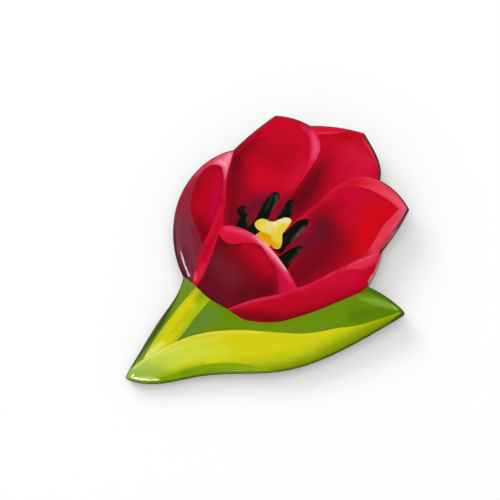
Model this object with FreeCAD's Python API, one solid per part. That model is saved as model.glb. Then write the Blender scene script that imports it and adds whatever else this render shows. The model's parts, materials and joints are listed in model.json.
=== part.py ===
# A lacquered wooden tulip brooch: one flat board cut to the outline of flower, stem and leaf,
# a clear coat over its painted front and edge, and a bar pin with a safety catch on its back.
# Millimetres. X is to the flower's right, Y runs up the flower, Z points out of the painted front.
# The origin is under the middle of the outline, level with the catch's lowest edge.
import FreeCAD, Part
import math
import os
from FreeCAD import Vector

# Board and coat
outline_width = 68.9
outline_height = 64.6
board_thickness = 4.0
coat_front = 0.6            # lacquer over the painted front
coat_side = 0.3             # lacquer round the edge
coat_stop = 0.5             # bare wood left along the back edge
edge_round = 1.5            # rounding of the board's front edge
round_steps = 6

# Bar of the pin
bar_length = 32.0
bar_width = 5.0
bar_thickness = 0.6
bar_x = 2.6                 # middle of the bar, above the brooch's centre of gravity
bar_y = 6.0

# Hinge of the pin
hinge_inset = 3.2           # from the bar's end to the rivet
ear_radius = 1.3
ear_thickness = 0.5
eye_radius = 1.1
eye_thickness = 1.0
eye_side_play = 0.08
rivet_radius = 0.45
rivet_head_radius = 0.8
rivet_head_height = 0.3
rivet_fit = 0.02
running_clearance = 0.06

# Pin wire
wire_radius = 0.45
point_length = 4.0
point_end_radius = 0.08
tip_overhang = 1.0          # wire that stands out past the catch

# Safety catch
catch_inset = 4.2           # from the bar's end to the middle of the catch
catch_radius = 2.3
catch_wall = 0.55
catch_length = 2.4
catch_foot = 0.2            # solder foot between ring and bar
catch_foot_width = 2.6
catch_slot = 1.5
rotor_clearance = 0.05
rotor_bore_radius = 0.8
flange_radius = 2.05
flange_thickness = 0.4
tab_reach = 3.4
tab_width = 1.0
tab_angle = -35.0           # degrees from +Y, with the catch open

# Bar screws
screw_inset = 8.8           # from the bar's end to each screw
screw_shank_radius = 0.75
screw_head_radius = 1.35
screw_head_height = 0.8
screw_depth = 3.0           # shank inside the board
screw_point = 1.0
screw_slot_width = 0.35
screw_slot_depth = 0.35
screw_hole_play = 0.1       # hole in the bar
pilot_play = 0.02           # hole in the board

# Heights that follow from the pieces that are stacked up
catch_axis_z = math.sqrt(catch_radius ** 2 - (catch_slot / 2) ** 2)
back_z = catch_axis_z + catch_radius + catch_foot + bar_thickness
front_z = back_z + board_thickness
bar_under_z = back_z - bar_thickness
hinge_x = bar_x - bar_length / 2 + hinge_inset
catch_x = bar_x + bar_length / 2 - catch_inset
rotor_half_length = catch_length / 2 + rotor_clearance + flange_thickness

# Corners of the drawn outline: tips of the petals and the leaf, and the notches between them
leaf_tip = Vector(-34.4, -30.9, 0)
stem_notch = Vector(-19.9, -6.6, 0)
left_notch = Vector(-7.6, 24.2, 0)
top_tip = Vector(2.5, 32.3, 0)
top_notch = Vector(11.0, 29.7, 0)
back_tip = Vector(23.9, 27.7, 0)
back_notch = Vector(27.5, 16.4, 0)
right_tip = Vector(34.5, 9.4, 0)
right_notch = Vector(28.1, -0.5, 0)
leaf_notch = Vector(24.6, -9.0, 0)
leaf_end = Vector(33.7, -15.6, 0)

# The drawn outline clockwise, one smooth run from each corner to the next
drawn_runs = [
    [leaf_tip, Vector(-30.1, -23.8, 0), Vector(-25.2, -16.1, 0), Vector(-21.6, -11.0, 0), stem_notch],
    [stem_notch, Vector(-21.6, -2.3, 0), Vector(-22.5, 4.5, 0), Vector(-21.1, 12.3, 0),
     Vector(-16.5, 19.4, 0), left_notch],
    [left_notch, Vector(-1.8, 29.2, 0), top_tip],
    [top_tip, Vector(6.8, 31.6, 0), top_notch],
    [top_notch, Vector(17.5, 29.2, 0), back_tip],
    [back_tip, Vector(26.2, 23.7, 0), Vector(27.7, 19.3, 0), back_notch],
    [back_notch, Vector(31.4, 13.7, 0), right_tip],
    [right_tip, Vector(31.8, 4.6, 0), right_notch],
    [right_notch, Vector(27.1, -4.3, 0), leaf_notch],
    [leaf_notch, Vector(29.8, -12.0, 0), leaf_end],
    [leaf_end, Vector(26.0, -20.1, 0), Vector(15.4, -25.6, 0), Vector(4.0, -29.2, 0),
     Vector(-6.8, -29.8, 0), Vector(-16.8, -30.5, 0), Vector(-28.0, -32.3, 0), leaf_tip],
]


def smooth_run(points):
    """One smooth curve through the points."""
    curve = Part.BSplineCurve()
    curve.interpolate(points)
    return curve


def inward(curve, point):
    """Direction square to the curve at the point, towards the wood."""
    along = curve.tangent(curve.parameter(point))[0]
    return Vector(along.y, -along.x, 0)


drawing = Part.Wire([smooth_run(points).toShape() for points in drawn_runs])
drawn_box = drawing.optimalBoundingBox(False)


def to_size(point):
    """A point of the drawing, moved to the board's middle and brought to its width and height."""
    return Vector((point.x - drawn_box.Center.x) * outline_width / drawn_box.XLength,
                  (point.y - drawn_box.Center.y) * outline_height / drawn_box.YLength, 0)


runs = [[to_size(point) for point in points] for points in drawn_runs]
curves = [smooth_run(points) for points in runs]


def outline(inset, height):
    """The outline drawn in by inset, as a closed wire at the given height."""
    edges = []
    for index, points in enumerate(runs):
        curve = curves[index]
        before = inward(curves[index - 1], points[0])
        after = inward(curves[(index + 1) % len(runs)], points[-1])
        normals = [inward(curve, point) for point in points]
        start = (before + normals[0]) / (1 + before.dot(normals[0]))
        end = (after + normals[-1]) / (1 + after.dot(normals[-1]))
        shifts = [start] + normals[1:-1] + [end]
        moved = [point + shift * inset + Vector(0, 0, height)
                 for point, shift in zip(points, shifts)]
        edges.append(smooth_run(moved).toShape())
    return Part.Wire(edges)


def rounded_board(inset, bottom, top, rounding):
    """A flat body with the outline's shape and a rounded front edge."""
    wires = [outline(inset, bottom)]
    for step in range(round_steps + 1):
        angle = math.radians(90 * step / round_steps)
        drawn_in = inset + rounding * (1 - math.cos(angle))
        wires.append(outline(drawn_in, top - rounding * (1 - math.sin(angle))))
    return Part.makeLoft(wires, True, True)


def rod(radius, length, start, direction):
    """A straight round rod."""
    return Part.makeCylinder(radius, length, start, direction)


def block(x_range, y_range, z_range):
    """A box between two limits on each axis."""
    size = [high - low for low, high in (x_range, y_range, z_range)]
    return Part.makeBox(*size, Vector(x_range[0], y_range[0], z_range[0]))


along_x = Vector(1, 0, 0)
along_y = Vector(0, 1, 0)
along_z = Vector(0, 0, 1)
screw_places = {
    "bar_screw_left": bar_x - bar_length / 2 + screw_inset,
    "bar_screw_right": bar_x + bar_length / 2 - screw_inset,
}


def make_board():
    """Limewood board with two pilot holes in its back."""
    board = rounded_board(coat_side, back_z, front_z, edge_round)
    for x in screw_places.values():
        radius = screw_shank_radius + pilot_play
        straight = screw_depth - screw_point + pilot_play
        start = Vector(x, bar_y, back_z)
        board = board.cut(rod(radius, straight, start, along_z))
        point_start = start + along_z * straight
        board = board.cut(Part.makeCone(radius, pilot_play, screw_point, point_start, along_z))
    return board


def make_coat():
    """Clear coat over the painted front and the edge, short of the back edge."""
    outside = rounded_board(0, back_z + coat_stop, front_z + coat_front, edge_round + coat_side)
    return outside.cut(rounded_board(coat_side, back_z, front_z, edge_round))


def make_bar():
    """Steel strip with round ends, two screw holes and two hinge ears folded down from it."""
    half = bar_length / 2 - bar_width / 2
    half_width = bar_width / 2
    strip = block((bar_x - half, bar_x + half), (bar_y - half_width, bar_y + half_width),
                  (bar_under_z, back_z))
    for end in (-half, half):
        start = Vector(bar_x + end, bar_y, bar_under_z)
        strip = strip.fuse(rod(half_width, bar_thickness, start, along_z))
    for x in screw_places.values():
        start = Vector(x, bar_y, bar_under_z)
        strip = strip.cut(rod(screw_shank_radius + screw_hole_play, bar_thickness, start, along_z))
    ear_inside = eye_thickness / 2 + eye_side_play
    for low in (bar_y + ear_inside, bar_y - ear_inside - ear_thickness):
        leg = block((hinge_x - ear_radius, hinge_x + ear_radius), (low, low + ear_thickness),
                    (catch_axis_z, bar_under_z))
        tip = rod(ear_radius, ear_thickness, Vector(hinge_x, low, catch_axis_z), along_y)
        hole = rod(rivet_radius + rivet_fit, ear_thickness, Vector(hinge_x, low, catch_axis_z), along_y)
        strip = strip.fuse(leg.fuse(tip).cut(hole))
    return strip.removeSplitter()


def make_rivet():
    """Rivet through both ears, with a flat head on each outer side."""
    half = eye_thickness / 2 + eye_side_play + ear_thickness
    rivet = rod(rivet_radius, 2 * half, Vector(hinge_x, bar_y - half, catch_axis_z), along_y)
    for low in (bar_y + half, bar_y - half - rivet_head_height):
        head = rod(rivet_head_radius, rivet_head_height, Vector(hinge_x, low, catch_axis_z), along_y)
        rivet = rivet.fuse(head)
    return rivet.removeSplitter()


def make_stem():
    """Sharpened wire with a flattened eye that turns on the rivet."""
    eye_start = Vector(hinge_x, bar_y - eye_thickness / 2, catch_axis_z)
    eye = rod(eye_radius, eye_thickness, eye_start, along_y)
    point_x = catch_x + rotor_half_length + tip_overhang - point_length
    wire = rod(wire_radius, point_x - hinge_x, Vector(hinge_x, bar_y, catch_axis_z), along_x)
    point = Part.makeCone(wire_radius, point_end_radius, point_length,
                          Vector(point_x, bar_y, catch_axis_z), along_x)
    hole = rod(rivet_radius + running_clearance, eye_thickness, eye_start, along_y)
    return eye.fuse(wire).fuse(point).cut(hole).removeSplitter()


def catch_gap(half_length):
    """The way in for the wire: a slot from the catch's middle down and out."""
    return block((catch_x - half_length, catch_x + half_length),
                 (bar_y - catch_slot / 2, bar_y + catch_slot / 2),
                 (catch_axis_z - 2 * catch_radius, catch_axis_z))


def make_housing():
    """C-shaped ring on a solder foot, open on the side away from the board."""
    half = catch_length / 2
    start = Vector(catch_x - half, bar_y, catch_axis_z)
    foot = block((catch_x - half, catch_x + half),
                 (bar_y - catch_foot_width / 2, bar_y + catch_foot_width / 2),
                 (catch_axis_z, bar_under_z))
    ring = rod(catch_radius, catch_length, start, along_x).fuse(foot)
    bore = rod(catch_radius - catch_wall, catch_length, start, along_x)
    return ring.cut(bore).cut(catch_gap(half)).removeSplitter()


def make_rotor():
    """Turning sleeve with a flange at each end and a thumb tab on the outer flange."""
    start = Vector(catch_x - rotor_half_length, bar_y, catch_axis_z)
    sleeve_radius = catch_radius - catch_wall - rotor_clearance
    rotor = rod(sleeve_radius, 2 * rotor_half_length, start, along_x)
    outer_x = catch_x + rotor_half_length - flange_thickness
    for x in (start.x, outer_x):
        rotor = rotor.fuse(rod(flange_radius, flange_thickness, Vector(x, bar_y, catch_axis_z), along_x))
    tab_end = tab_reach - tab_width / 2
    tab = block((outer_x, outer_x + flange_thickness), (bar_y, bar_y + tab_end),
                (catch_axis_z - tab_width / 2, catch_axis_z + tab_width / 2))
    tab = tab.fuse(rod(tab_width / 2, flange_thickness,
                       Vector(outer_x, bar_y + tab_end, catch_axis_z), along_x))
    tab.rotate(Vector(catch_x, bar_y, catch_axis_z), along_x, tab_angle)
    bore = rod(rotor_bore_radius, 2 * rotor_half_length, start, along_x)
    return rotor.fuse(tab).cut(bore).cut(catch_gap(rotor_half_length)).removeSplitter()


def make_screw(x):
    """Round-head wood screw through the bar into the board."""
    sphere_radius = (screw_head_radius ** 2 + screw_head_height ** 2) / (2 * screw_head_height)
    centre = Vector(x, bar_y, bar_under_z - screw_head_height + sphere_radius)
    cap = block((x - sphere_radius, x + sphere_radius), (bar_y - sphere_radius, bar_y + sphere_radius),
                (bar_under_z - screw_head_height, bar_under_z))
    head = Part.makeSphere(sphere_radius, centre).common(cap)
    straight = bar_thickness + screw_depth - screw_point
    shank = rod(screw_shank_radius, straight, Vector(x, bar_y, bar_under_z), along_z)
    point = Part.makeCone(screw_shank_radius, pilot_play / 2, screw_point,
                          Vector(x, bar_y, bar_under_z + straight), along_z)
    slot = block((x - screw_slot_width / 2, x + screw_slot_width / 2),
                 (bar_y - screw_head_radius, bar_y + screw_head_radius),
                 (bar_under_z - screw_head_height, bar_under_z - screw_head_height + screw_slot_depth))
    return head.fuse(shank).fuse(point).cut(slot).removeSplitter()


nodes = {
    "wooden_board": make_board(),
    "lacquer_coat": make_coat(),
    "pin_bar": make_bar(),
    "hinge_rivet": make_rivet(),
    "pin_stem": make_stem(),
    "catch_housing": make_housing(),
    "catch_rotor": make_rotor(),
}
for name, x in screw_places.items():
    nodes[name] = make_screw(x)

os.makedirs("parts", exist_ok=True)
for name, shape in nodes.items():
    shape.exportStep("parts/" + name + ".step")
    print(name, len(shape.Solids), shape.isValid(), round(shape.Volume, 3))
print("hinge axis", hinge_x, bar_y, catch_axis_z, "catch axis", catch_x, "back", back_z)
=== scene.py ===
import json
import math

import bpy
import numpy as np
from mathutils import Matrix, Vector
from mathutils.geometry import delaunay_2d_cdt

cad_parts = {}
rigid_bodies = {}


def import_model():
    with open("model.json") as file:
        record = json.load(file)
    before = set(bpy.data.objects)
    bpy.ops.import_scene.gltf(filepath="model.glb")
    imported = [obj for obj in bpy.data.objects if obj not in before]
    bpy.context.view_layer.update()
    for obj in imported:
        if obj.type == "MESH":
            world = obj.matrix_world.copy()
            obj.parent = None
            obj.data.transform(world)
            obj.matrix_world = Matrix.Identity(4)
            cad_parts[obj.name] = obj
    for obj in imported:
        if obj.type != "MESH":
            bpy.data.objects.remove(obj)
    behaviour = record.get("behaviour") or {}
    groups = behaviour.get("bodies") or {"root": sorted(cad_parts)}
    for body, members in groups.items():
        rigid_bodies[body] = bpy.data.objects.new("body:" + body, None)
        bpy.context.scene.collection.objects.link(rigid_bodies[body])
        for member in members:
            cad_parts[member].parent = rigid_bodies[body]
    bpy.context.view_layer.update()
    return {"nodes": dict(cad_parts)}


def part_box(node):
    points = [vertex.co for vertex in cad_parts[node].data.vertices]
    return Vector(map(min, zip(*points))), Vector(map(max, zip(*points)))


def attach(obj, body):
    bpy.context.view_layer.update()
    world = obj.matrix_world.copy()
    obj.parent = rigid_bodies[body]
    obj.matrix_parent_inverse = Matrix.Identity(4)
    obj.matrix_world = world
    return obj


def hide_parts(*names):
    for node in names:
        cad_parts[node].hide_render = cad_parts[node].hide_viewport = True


# Blender's own start-up objects go first, so that the box of the scene is the box of the part
for start_object in list(bpy.data.objects):
    bpy.data.objects.remove(start_object)
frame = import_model()

# The camera stands half a metre off, a little to the right of the flower and below it, and looks
# almost straight down on the painted front through a long lens.
mm = 0.001                  # sizes are written in millimetres, and the scene is in metres
camera_distance = 500 * mm
camera_aim = Vector((-3.53, -0.14, 9.874)) * mm
to_camera = Vector((0.15, -0.06, 0.98686)).normalized()
lens_length = 150
sensor_width = 36
flower_up = Vector((0, 1, 0))


def turn_to(direction, up):
    """A rotation whose own Z points along direction and whose Y leans towards up."""
    side = up.cross(direction).normalized()
    return Matrix((side, direction.cross(side), direction)).transposed().to_4x4()


camera_data = bpy.data.cameras.new("studio_camera")
camera_data.lens = lens_length
camera_data.sensor_width = sensor_width
camera = bpy.data.objects.new("studio_camera", camera_data)
camera.matrix_world = Matrix.Translation(camera_aim + to_camera * camera_distance) @ turn_to(
    to_camera, flower_up)
bpy.context.scene.collection.objects.link(camera)
bpy.context.scene.camera = camera
bpy.context.scene.view_settings.view_transform = "Standard"

# The brooch lies on three points: the safety catch, the ears of the hinge and the leaf's left tip.
# The floor is one large white sheet through those three, so it is tilted in the brooch's own frame.
# It sends an even, graded light up to the brooch's sides and back, like a light table.
floor_half_width = 700 * mm
floor_white = 0.99
shine_through = 0.13        # the part of that light that also softens the shadows on the sheet
glow_reach = 25 * mm
glow_low = 0.3
glow_high = 1.0
hinge_end = -8 * mm         # the hinge lies left of this, and the leaf's tip left of the next
leaf_tip_end = -30 * mm
seating_rounds = 6


def lowest_corner(node, up, left_of=None):
    """The node's lowest vertex along up, among those left of the given X."""
    corners = [v.co for v in frame["nodes"][node].data.vertices if left_of is None or v.co.x < left_of]
    return min(corners, key=lambda corner: corner.dot(up))


floor_up = Vector((0, 0, 1))
for seating in range(seating_rounds):
    at_catch = lowest_corner("catch_housing", floor_up)
    at_hinge = lowest_corner("pin_bar", floor_up, left_of=hinge_end)
    at_leaf_tip = lowest_corner("wooden_board", floor_up, left_of=leaf_tip_end)
    floor_up = (at_hinge - at_catch).cross(at_leaf_tip - at_catch).normalized()
    floor_up = floor_up if floor_up.z > 0 else -floor_up

floor_mesh = bpy.data.meshes.new("floor")
corners = [Vector((x, y, 0)) * floor_half_width for x, y in ((-1, -1), (1, -1), (1, 1), (-1, 1))]
floor_mesh.from_pydata(corners, [], [(0, 1, 2, 3)])
floor = bpy.data.objects.new("floor", floor_mesh)
floor.matrix_world = Matrix.Translation(at_catch) @ turn_to(floor_up, flower_up)
bpy.context.scene.collection.objects.link(floor)


def add_node(tree, kind, settings=None, **inputs):
    """A node with its settings, and its inputs set to values or linked to sockets.

    An input goes by its name with _ for spaces, or by i and its number, such as i0."""
    made = tree.nodes.new(kind)
    for key, value in (settings or {}).items():
        setattr(made, key, value)
    for key, value in inputs.items():
        by_number = key[0] == "i" and key[1:].isdigit()
        socket = made.inputs[int(key[1:]) if by_number else key.replace("_", " ")]
        if isinstance(value, bpy.types.NodeSocket):
            tree.links.new(value, socket)
        else:
            socket.default_value = value
    return made


def new_material(name):
    """An empty material with its node tree and its output."""
    material = bpy.data.materials.new(name)
    material.use_nodes = True
    material.node_tree.nodes.clear()
    return material, material.node_tree, add_node(material.node_tree, "ShaderNodeOutputMaterial")


material, tree, output = new_material("floor_white")
path = add_node(tree, "ShaderNodeLightPath")
matt = add_node(tree, "ShaderNodeBsdfDiffuse", Color=(floor_white, floor_white, floor_white, 1))
seen_glow = add_node(tree, "ShaderNodeEmission", Strength=1.0)
lit_sheet = add_node(tree, "ShaderNodeMixShader", i0=shine_through, i1=matt.outputs[0],
                     i2=seen_glow.outputs[0])
clear = add_node(tree, "ShaderNodeBsdfTransparent")
side = add_node(tree, "ShaderNodeNewGeometry")
seen_sheet = add_node(tree, "ShaderNodeMixShader", i0=side.outputs["Backfacing"],
                      i1=lit_sheet.outputs[0], i2=clear.outputs[0])
place = add_node(tree, "ShaderNodeTexCoord")
across = add_node(tree, "ShaderNodeSeparateXYZ", i0=place.outputs["Object"])
glow_level = add_node(tree, "ShaderNodeMapRange", {"interpolation_type": "SMOOTHSTEP"},
                      i0=across.outputs["Y"], i1=-glow_reach, i2=glow_reach, i3=glow_low,
                      i4=glow_high)
glow = add_node(tree, "ShaderNodeEmission", Strength=glow_level.outputs[0])
sheet = add_node(tree, "ShaderNodeMixShader", i0=path.outputs["Is Camera Ray"], i1=glow.outputs[0],
                 i2=seen_sheet.outputs[0])
tree.links.new(sheet.outputs[0], output.inputs["Surface"])
floor_mesh.materials.append(material)

# Soft studio light: a pale room, a lamp almost overhead, and a broad one beyond the top of the
# flower, to the left. For gloss the room fades to dark overhead, so that the lacquer stays clear,
# and only the four panes of a window on the left shine in it.
room_light = 0.39
room_for_gloss = 0.45
fade_starts = -0.1          # from -1 straight below the brooch to 1 overhead
fade_ends = 0.5
lamp_distance = 2000 * mm
# Directions are in the floor's own frame, sizes in millimetres and powers in watts
surface_lamps = {
    "overhead_lamp": {"direction": (0.10, 0.04, 0.99), "size": (1300, 1300), "power": 18.5},
    "side_lamp": {"direction": (-0.40, 0.58, 0.71), "size": (1100, 1100), "power": 13.5},
}
gloss_lamps = {
    "window": {"direction": (-0.40, -0.15, 0.90), "size": (150, 320), "power": 2.2},
    "window_pane": {"direction": (-0.37, -0.24, 0.89), "size": (110, 180), "power": 1.4},
    "window_foot": {"direction": (-0.35, -0.31, 0.88), "size": (80, 120), "power": 0.6},
    "low_window": {"direction": (-0.30, -0.51, 0.81), "size": (440, 480), "power": 10.0},
}


def mix_values(tree, share, first, second):
    """A number that goes from the first to the second as the share goes from 0 to 1."""
    made = add_node(tree, "ShaderNodeMix", {"data_type": "FLOAT"}, i0=share, i2=first, i3=second)
    return made.outputs[0]


world = bpy.data.worlds.new("room")
bpy.context.scene.world = world
world.use_nodes = True
tree = world.node_tree
tree.nodes.clear()
path = add_node(tree, "ShaderNodeLightPath")
place = add_node(tree, "ShaderNodeTexCoord")
up_part = add_node(tree, "ShaderNodeVectorMath", {"operation": "DOT_PRODUCT"},
                   i0=place.outputs["Generated"], i1=(0.0, 0.0, 1.0))
falloff = add_node(tree, "ShaderNodeMapRange", {"interpolation_type": "SMOOTHSTEP"},
                   i0=up_part.outputs["Value"], i1=fade_starts, i2=fade_ends, i3=room_for_gloss,
                   i4=0.0)
glossy = mix_values(tree, path.outputs["Is Glossy Ray"], room_light, falloff.outputs[0])
level = mix_values(tree, path.outputs["Is Camera Ray"], glossy, 1.0)
background = add_node(tree, "ShaderNodeBackground", Color=(1, 1, 1, 1), Strength=level)
output = add_node(tree, "ShaderNodeOutputWorld")
tree.links.new(background.outputs[0], output.inputs["Surface"])
floor_frame = turn_to(floor_up, flower_up)


def lamp(name, direction, size, power, in_reflections):
    """An area lamp that shines at the brooch, and either lights its surfaces or glints in them."""
    data = bpy.data.lights.new(name, "AREA")
    data.shape = "RECTANGLE"
    data.size = size[0] * mm
    data.size_y = size[1] * mm
    data.energy = power
    made = bpy.data.objects.new(name, data)
    towards = (floor_frame @ Vector(direction)).normalized()
    made.matrix_world = Matrix.Translation(towards * lamp_distance) @ turn_to(towards, flower_up)
    made.visible_camera = False
    made.visible_glossy = in_reflections
    made.visible_diffuse = not in_reflections
    bpy.context.scene.collection.objects.link(made)


for lamp_name, look in surface_lamps.items():
    lamp(lamp_name, in_reflections=False, **look)
for lamp_name, look in gloss_lamps.items():
    lamp(lamp_name, in_reflections=True, **look)

# The board is limewood, sawn to the outline and stained dark brown on its back and side, then
# wiped with a thin satin varnish. Its grain runs up the flower, and its back edge is rubbed paler.
stain_dark = (0.030, 0.011, 0.006, 1)
stain_light = (0.125, 0.052, 0.026, 1)
rubbed_wood = (0.30, 0.17, 0.09, 1)
pores_per_ring = 9.0
pore_share = 0.4
grain_band = (0.36, 0.64)   # noise from here to there turns the stain from dark to light
grain_roughness = (0.5, 0.34)
wear_likeness = (0.995, 0.86)   # of the rounded normal to the flat one: no rubbing, full rubbing
wear_patches_per_metre = 900.0
wear_patch_band = (0.35, 0.65)
least_wear = 0.2


def node_group(name, outputs, colours, numbers, vectors=()):
    """An empty shader node group with named sockets, and its input and output nodes."""
    group = bpy.data.node_groups.new(name, "ShaderNodeTree")
    for kind, labels in (("NodeSocketColor", colours), ("NodeSocketVector", vectors),
                         ("NodeSocketFloat", numbers)):
        for label in labels:
            group.interface.new_socket(label, in_out="INPUT", socket_type=kind)
    for label in outputs:
        kind = "NodeSocketColor" if label == "Color" else "NodeSocketFloat"
        group.interface.new_socket(label, in_out="OUTPUT", socket_type=kind)
    return group, add_node(group, "NodeGroupInput"), add_node(group, "NodeGroupOutput")


def put(group, put_out, **results):
    """The group, with its results linked to its outputs by name."""
    for label, socket in results.items():
        group.links.new(socket, put_out.inputs[label])
    return group


def noise(tree, place, scale, detail, **more):
    """Soft noise from about 0 to 1."""
    made = add_node(tree, "ShaderNodeTexNoise", Vector=place, Scale=scale, Detail=detail, **more)
    return made.outputs[0]


def spread(tree, value, band, results=(0.0, 1.0)):
    """The value's band stretched to the two results, and held there beyond it."""
    made = add_node(tree, "ShaderNodeMapRange", i0=value, i1=band[0], i2=band[1], i3=results[0],
                    i4=results[1])
    return made.outputs[0]


def multiply(tree, first, second, kind="ShaderNodeMath", **settings):
    """Two numbers or, with the vector kind, two vectors multiplied."""
    made = add_node(tree, kind, {"operation": "MULTIPLY", **settings}, i0=first, i1=second)
    return made.outputs[0]


def principled(tree, output, **inputs):
    """The material's surface, with its inputs set or linked."""
    surface = add_node(tree, "ShaderNodeBsdfPrincipled", **inputs)
    tree.links.new(surface.outputs[0], output.inputs["Surface"])


def mix_colours(tree, share, first, second):
    """A colour that goes from the first to the second as the share goes from 0 to 1."""
    made = add_node(tree, "ShaderNodeMix", {"data_type": "RGBA"}, i0=share, i6=first, i7=second)
    return made.outputs[2]


group, given, put_out = node_group("wood_grain", ("Color", "Height", "Roughness"),
                                   ("Dark", "Light"), ("Rings per metre", "Stretch"))
place = add_node(group, "ShaderNodeTexCoord").outputs["Object"]
rings = given.outputs["Rings per metre"]
drawn_out = add_node(group, "ShaderNodeCombineXYZ", i0=1.0, i1=given.outputs["Stretch"], i2=1.0)
lengthened = multiply(group, place, drawn_out.outputs[0], "ShaderNodeVectorMath")
figure = noise(group, lengthened, rings, 3.0, Roughness=0.5, Distortion=0.6)
pores = noise(group, lengthened, multiply(group, rings, pores_per_ring), 2.0, Roughness=0.6)
grain = spread(group, mix_values(group, pore_share, figure, pores), grain_band)
sheen = spread(group, grain, (0.0, 1.0), grain_roughness)
stain = mix_colours(group, grain, given.outputs["Dark"], given.outputs["Light"])
wood_grain = put(group, put_out, Color=stain, Height=grain, Roughness=sheen)

group, given, put_out = node_group("edge_wear", ("Color",), ("Color", "Worn"), ("Width", "Amount"))
rounded = add_node(group, "ShaderNodeBevel", {"samples": 4}, Radius=given.outputs["Width"])
flat_normal = add_node(group, "ShaderNodeNewGeometry")
likeness = add_node(group, "ShaderNodeVectorMath", {"operation": "DOT_PRODUCT"},
                    i0=rounded.outputs[0], i1=flat_normal.outputs["Normal"])
place = add_node(group, "ShaderNodeTexCoord").outputs["Object"]
rubbed = spread(group, likeness.outputs["Value"], wear_likeness)
patches = noise(group, place, wear_patches_per_metre, 3.0)
uneven = spread(group, patches, wear_patch_band, (least_wear, 1.0))
mask = multiply(group, multiply(group, rubbed, uneven), given.outputs["Amount"], use_clamp=True)
worn = mix_colours(group, mask, given.outputs["Color"], given.outputs["Worn"])
edge_wear = put(group, put_out, Color=worn)

material, tree, output = new_material("stained_limewood")
grain = add_node(tree, "ShaderNodeGroup", {"node_tree": wood_grain}, Dark=stain_dark,
                 Light=stain_light, Rings_per_metre=420.0, Stretch=0.07)
worn = add_node(tree, "ShaderNodeGroup", {"node_tree": edge_wear}, Color=grain.outputs["Color"],
                Worn=rubbed_wood, Width=0.35 * mm, Amount=0.7)
relief = add_node(tree, "ShaderNodeBump", Height=grain.outputs["Height"], Strength=0.35,
                  Distance=0.05 * mm)
principled(tree, output, Base_Color=worn.outputs["Color"], Roughness=grain.outputs["Roughness"],
           Normal=relief.outputs[0], Coat_Weight=0.25, Coat_Roughness=0.25)
frame["nodes"]["wooden_board"].data.materials[0] = material

# The painted front under its thick clear lacquer. The real piece is hand painted on the flat board
# with soft brush strokes, then flooded with clear lacquer that rounds over the edge and runs down
# the side. It is one closed skin, as thick as the coat it stands for, with the paint as colour.
coat_bead = 0.8             # steep bead of the lacquer's edge, in from the side, in plain millimetres
coat_dome = 2.6             # faint doming that runs further in
coat_dome_share = 0.28
coat_side = 0.3             # lacquer round the edge
coat_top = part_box("lacquer_coat")[1].z / mm
coat_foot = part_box("lacquer_coat")[0].z / mm
board_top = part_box("wooden_board")[1].z / mm
foot_tolerance = 0.001 * mm
outline_step = 0.28
smoothing_passes = 14
corner_turn = math.radians(14)
leaf_tips_below = -12.0
leaf_tips_beyond = 30.0


def coat_edge_loop():
    """The coat's outer edge, from the lowest face of its solid, as X and Y in millimetres."""
    mesh = frame["nodes"]["lacquer_coat"].data
    low = coat_foot * mm + foot_tolerance
    count = {}
    for face in mesh.polygons:
        corners = list(face.vertices)
        if all(mesh.vertices[i].co.z < low for i in corners):
            for a, b in zip(corners, corners[1:] + corners[:1]):
                key = (min(a, b), max(a, b))
                count[key] = count.get(key, 0) + 1
    neighbours = {}
    for a, b in (key for key, used in count.items() if used == 1):
        neighbours.setdefault(a, []).append(b)
        neighbours.setdefault(b, []).append(a)
    start = min(neighbours, key=lambda i: mesh.vertices[i].co.x)
    loop = [start]
    step = neighbours[start][0]
    while step != start:
        loop.append(step)
        step = next(i for i in neighbours[step] if i != loop[-2])
    return np.array([mesh.vertices[i].co.to_2d()[:] for i in loop]) / mm


def along(points, step):
    """The same line with evenly spaced points, ends kept."""
    gaps = np.hypot(*np.diff(points, axis=0).T)
    place = np.concatenate([[0], np.cumsum(gaps)])
    count = max(2, int(round(place[-1] / step)) + 1)
    wanted = np.linspace(0, place[-1], count)
    return np.stack([np.interp(wanted, place, points[:, 0]), np.interp(wanted, place, points[:, 1])], 1)


def smoothed(points, passes):
    """The line with its small facets rubbed out, ends kept."""
    points = points.copy()
    for rub in range(passes):
        points[1:-1] = points[1:-1] / 2 + (points[:-2] + points[2:]) / 4
    return points


def smooth_outline():
    """The outer edge with even points, clockwise: sharp at the petals' corners, round at the leaf's."""
    loop = coat_edge_loop()
    ahead = np.roll(loop, -1, 0) - loop
    behind = loop - np.roll(loop, 1, 0)
    turn = np.arctan2(behind[:, 0] * ahead[:, 1] - behind[:, 1] * ahead[:, 0], (behind * ahead).sum(1))
    at_leaf_tip = (loop[:, 1] < leaf_tips_below) & (abs(loop[:, 0]) > leaf_tips_beyond)
    sharp = np.where((abs(turn) > corner_turn) & ~at_leaf_tip)[0]
    runs = []
    for first, last in zip(sharp, list(sharp[1:]) + [sharp[0] + len(loop)]):
        run = loop[np.arange(first, last + 1) % len(loop)]
        runs.append(smoothed(along(run, outline_step), smoothing_passes)[:-1])
    whole = np.concatenate(runs)
    area = (whole[:, 0] * np.roll(whole[:, 1], -1) - whole[:, 1] * np.roll(whole[:, 0], -1)).sum()
    return whole if area < 0 else whole[::-1]


outline = smooth_outline()
no_length = 1e-6            # keeps shares defined where a span or a gap has no length


def distance_to(points, path, closed=False):
    """For each point: how far the path is, the number of its nearest span, and the share along it."""
    ends = np.roll(path, -1, 0) if closed else path[1:]
    starts = path if closed else path[:-1]
    spans = ends - starts
    squares = np.maximum((spans ** 2).sum(1), no_length ** 2)
    best = np.full(len(points), np.inf)
    share = np.zeros(len(points))
    index = np.zeros(len(points), int)
    for number, (start, span, square) in enumerate(zip(starts, spans, squares)):
        part = np.clip(((points - start) @ span) / square, 0, 1)
        gap = np.hypot(*(points - start - part[:, None] * span).T)
        closer = gap < best
        best[closer] = gap[closer]
        share[closer] = part[closer]
        index[closer] = number
    return best, index, share


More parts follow.
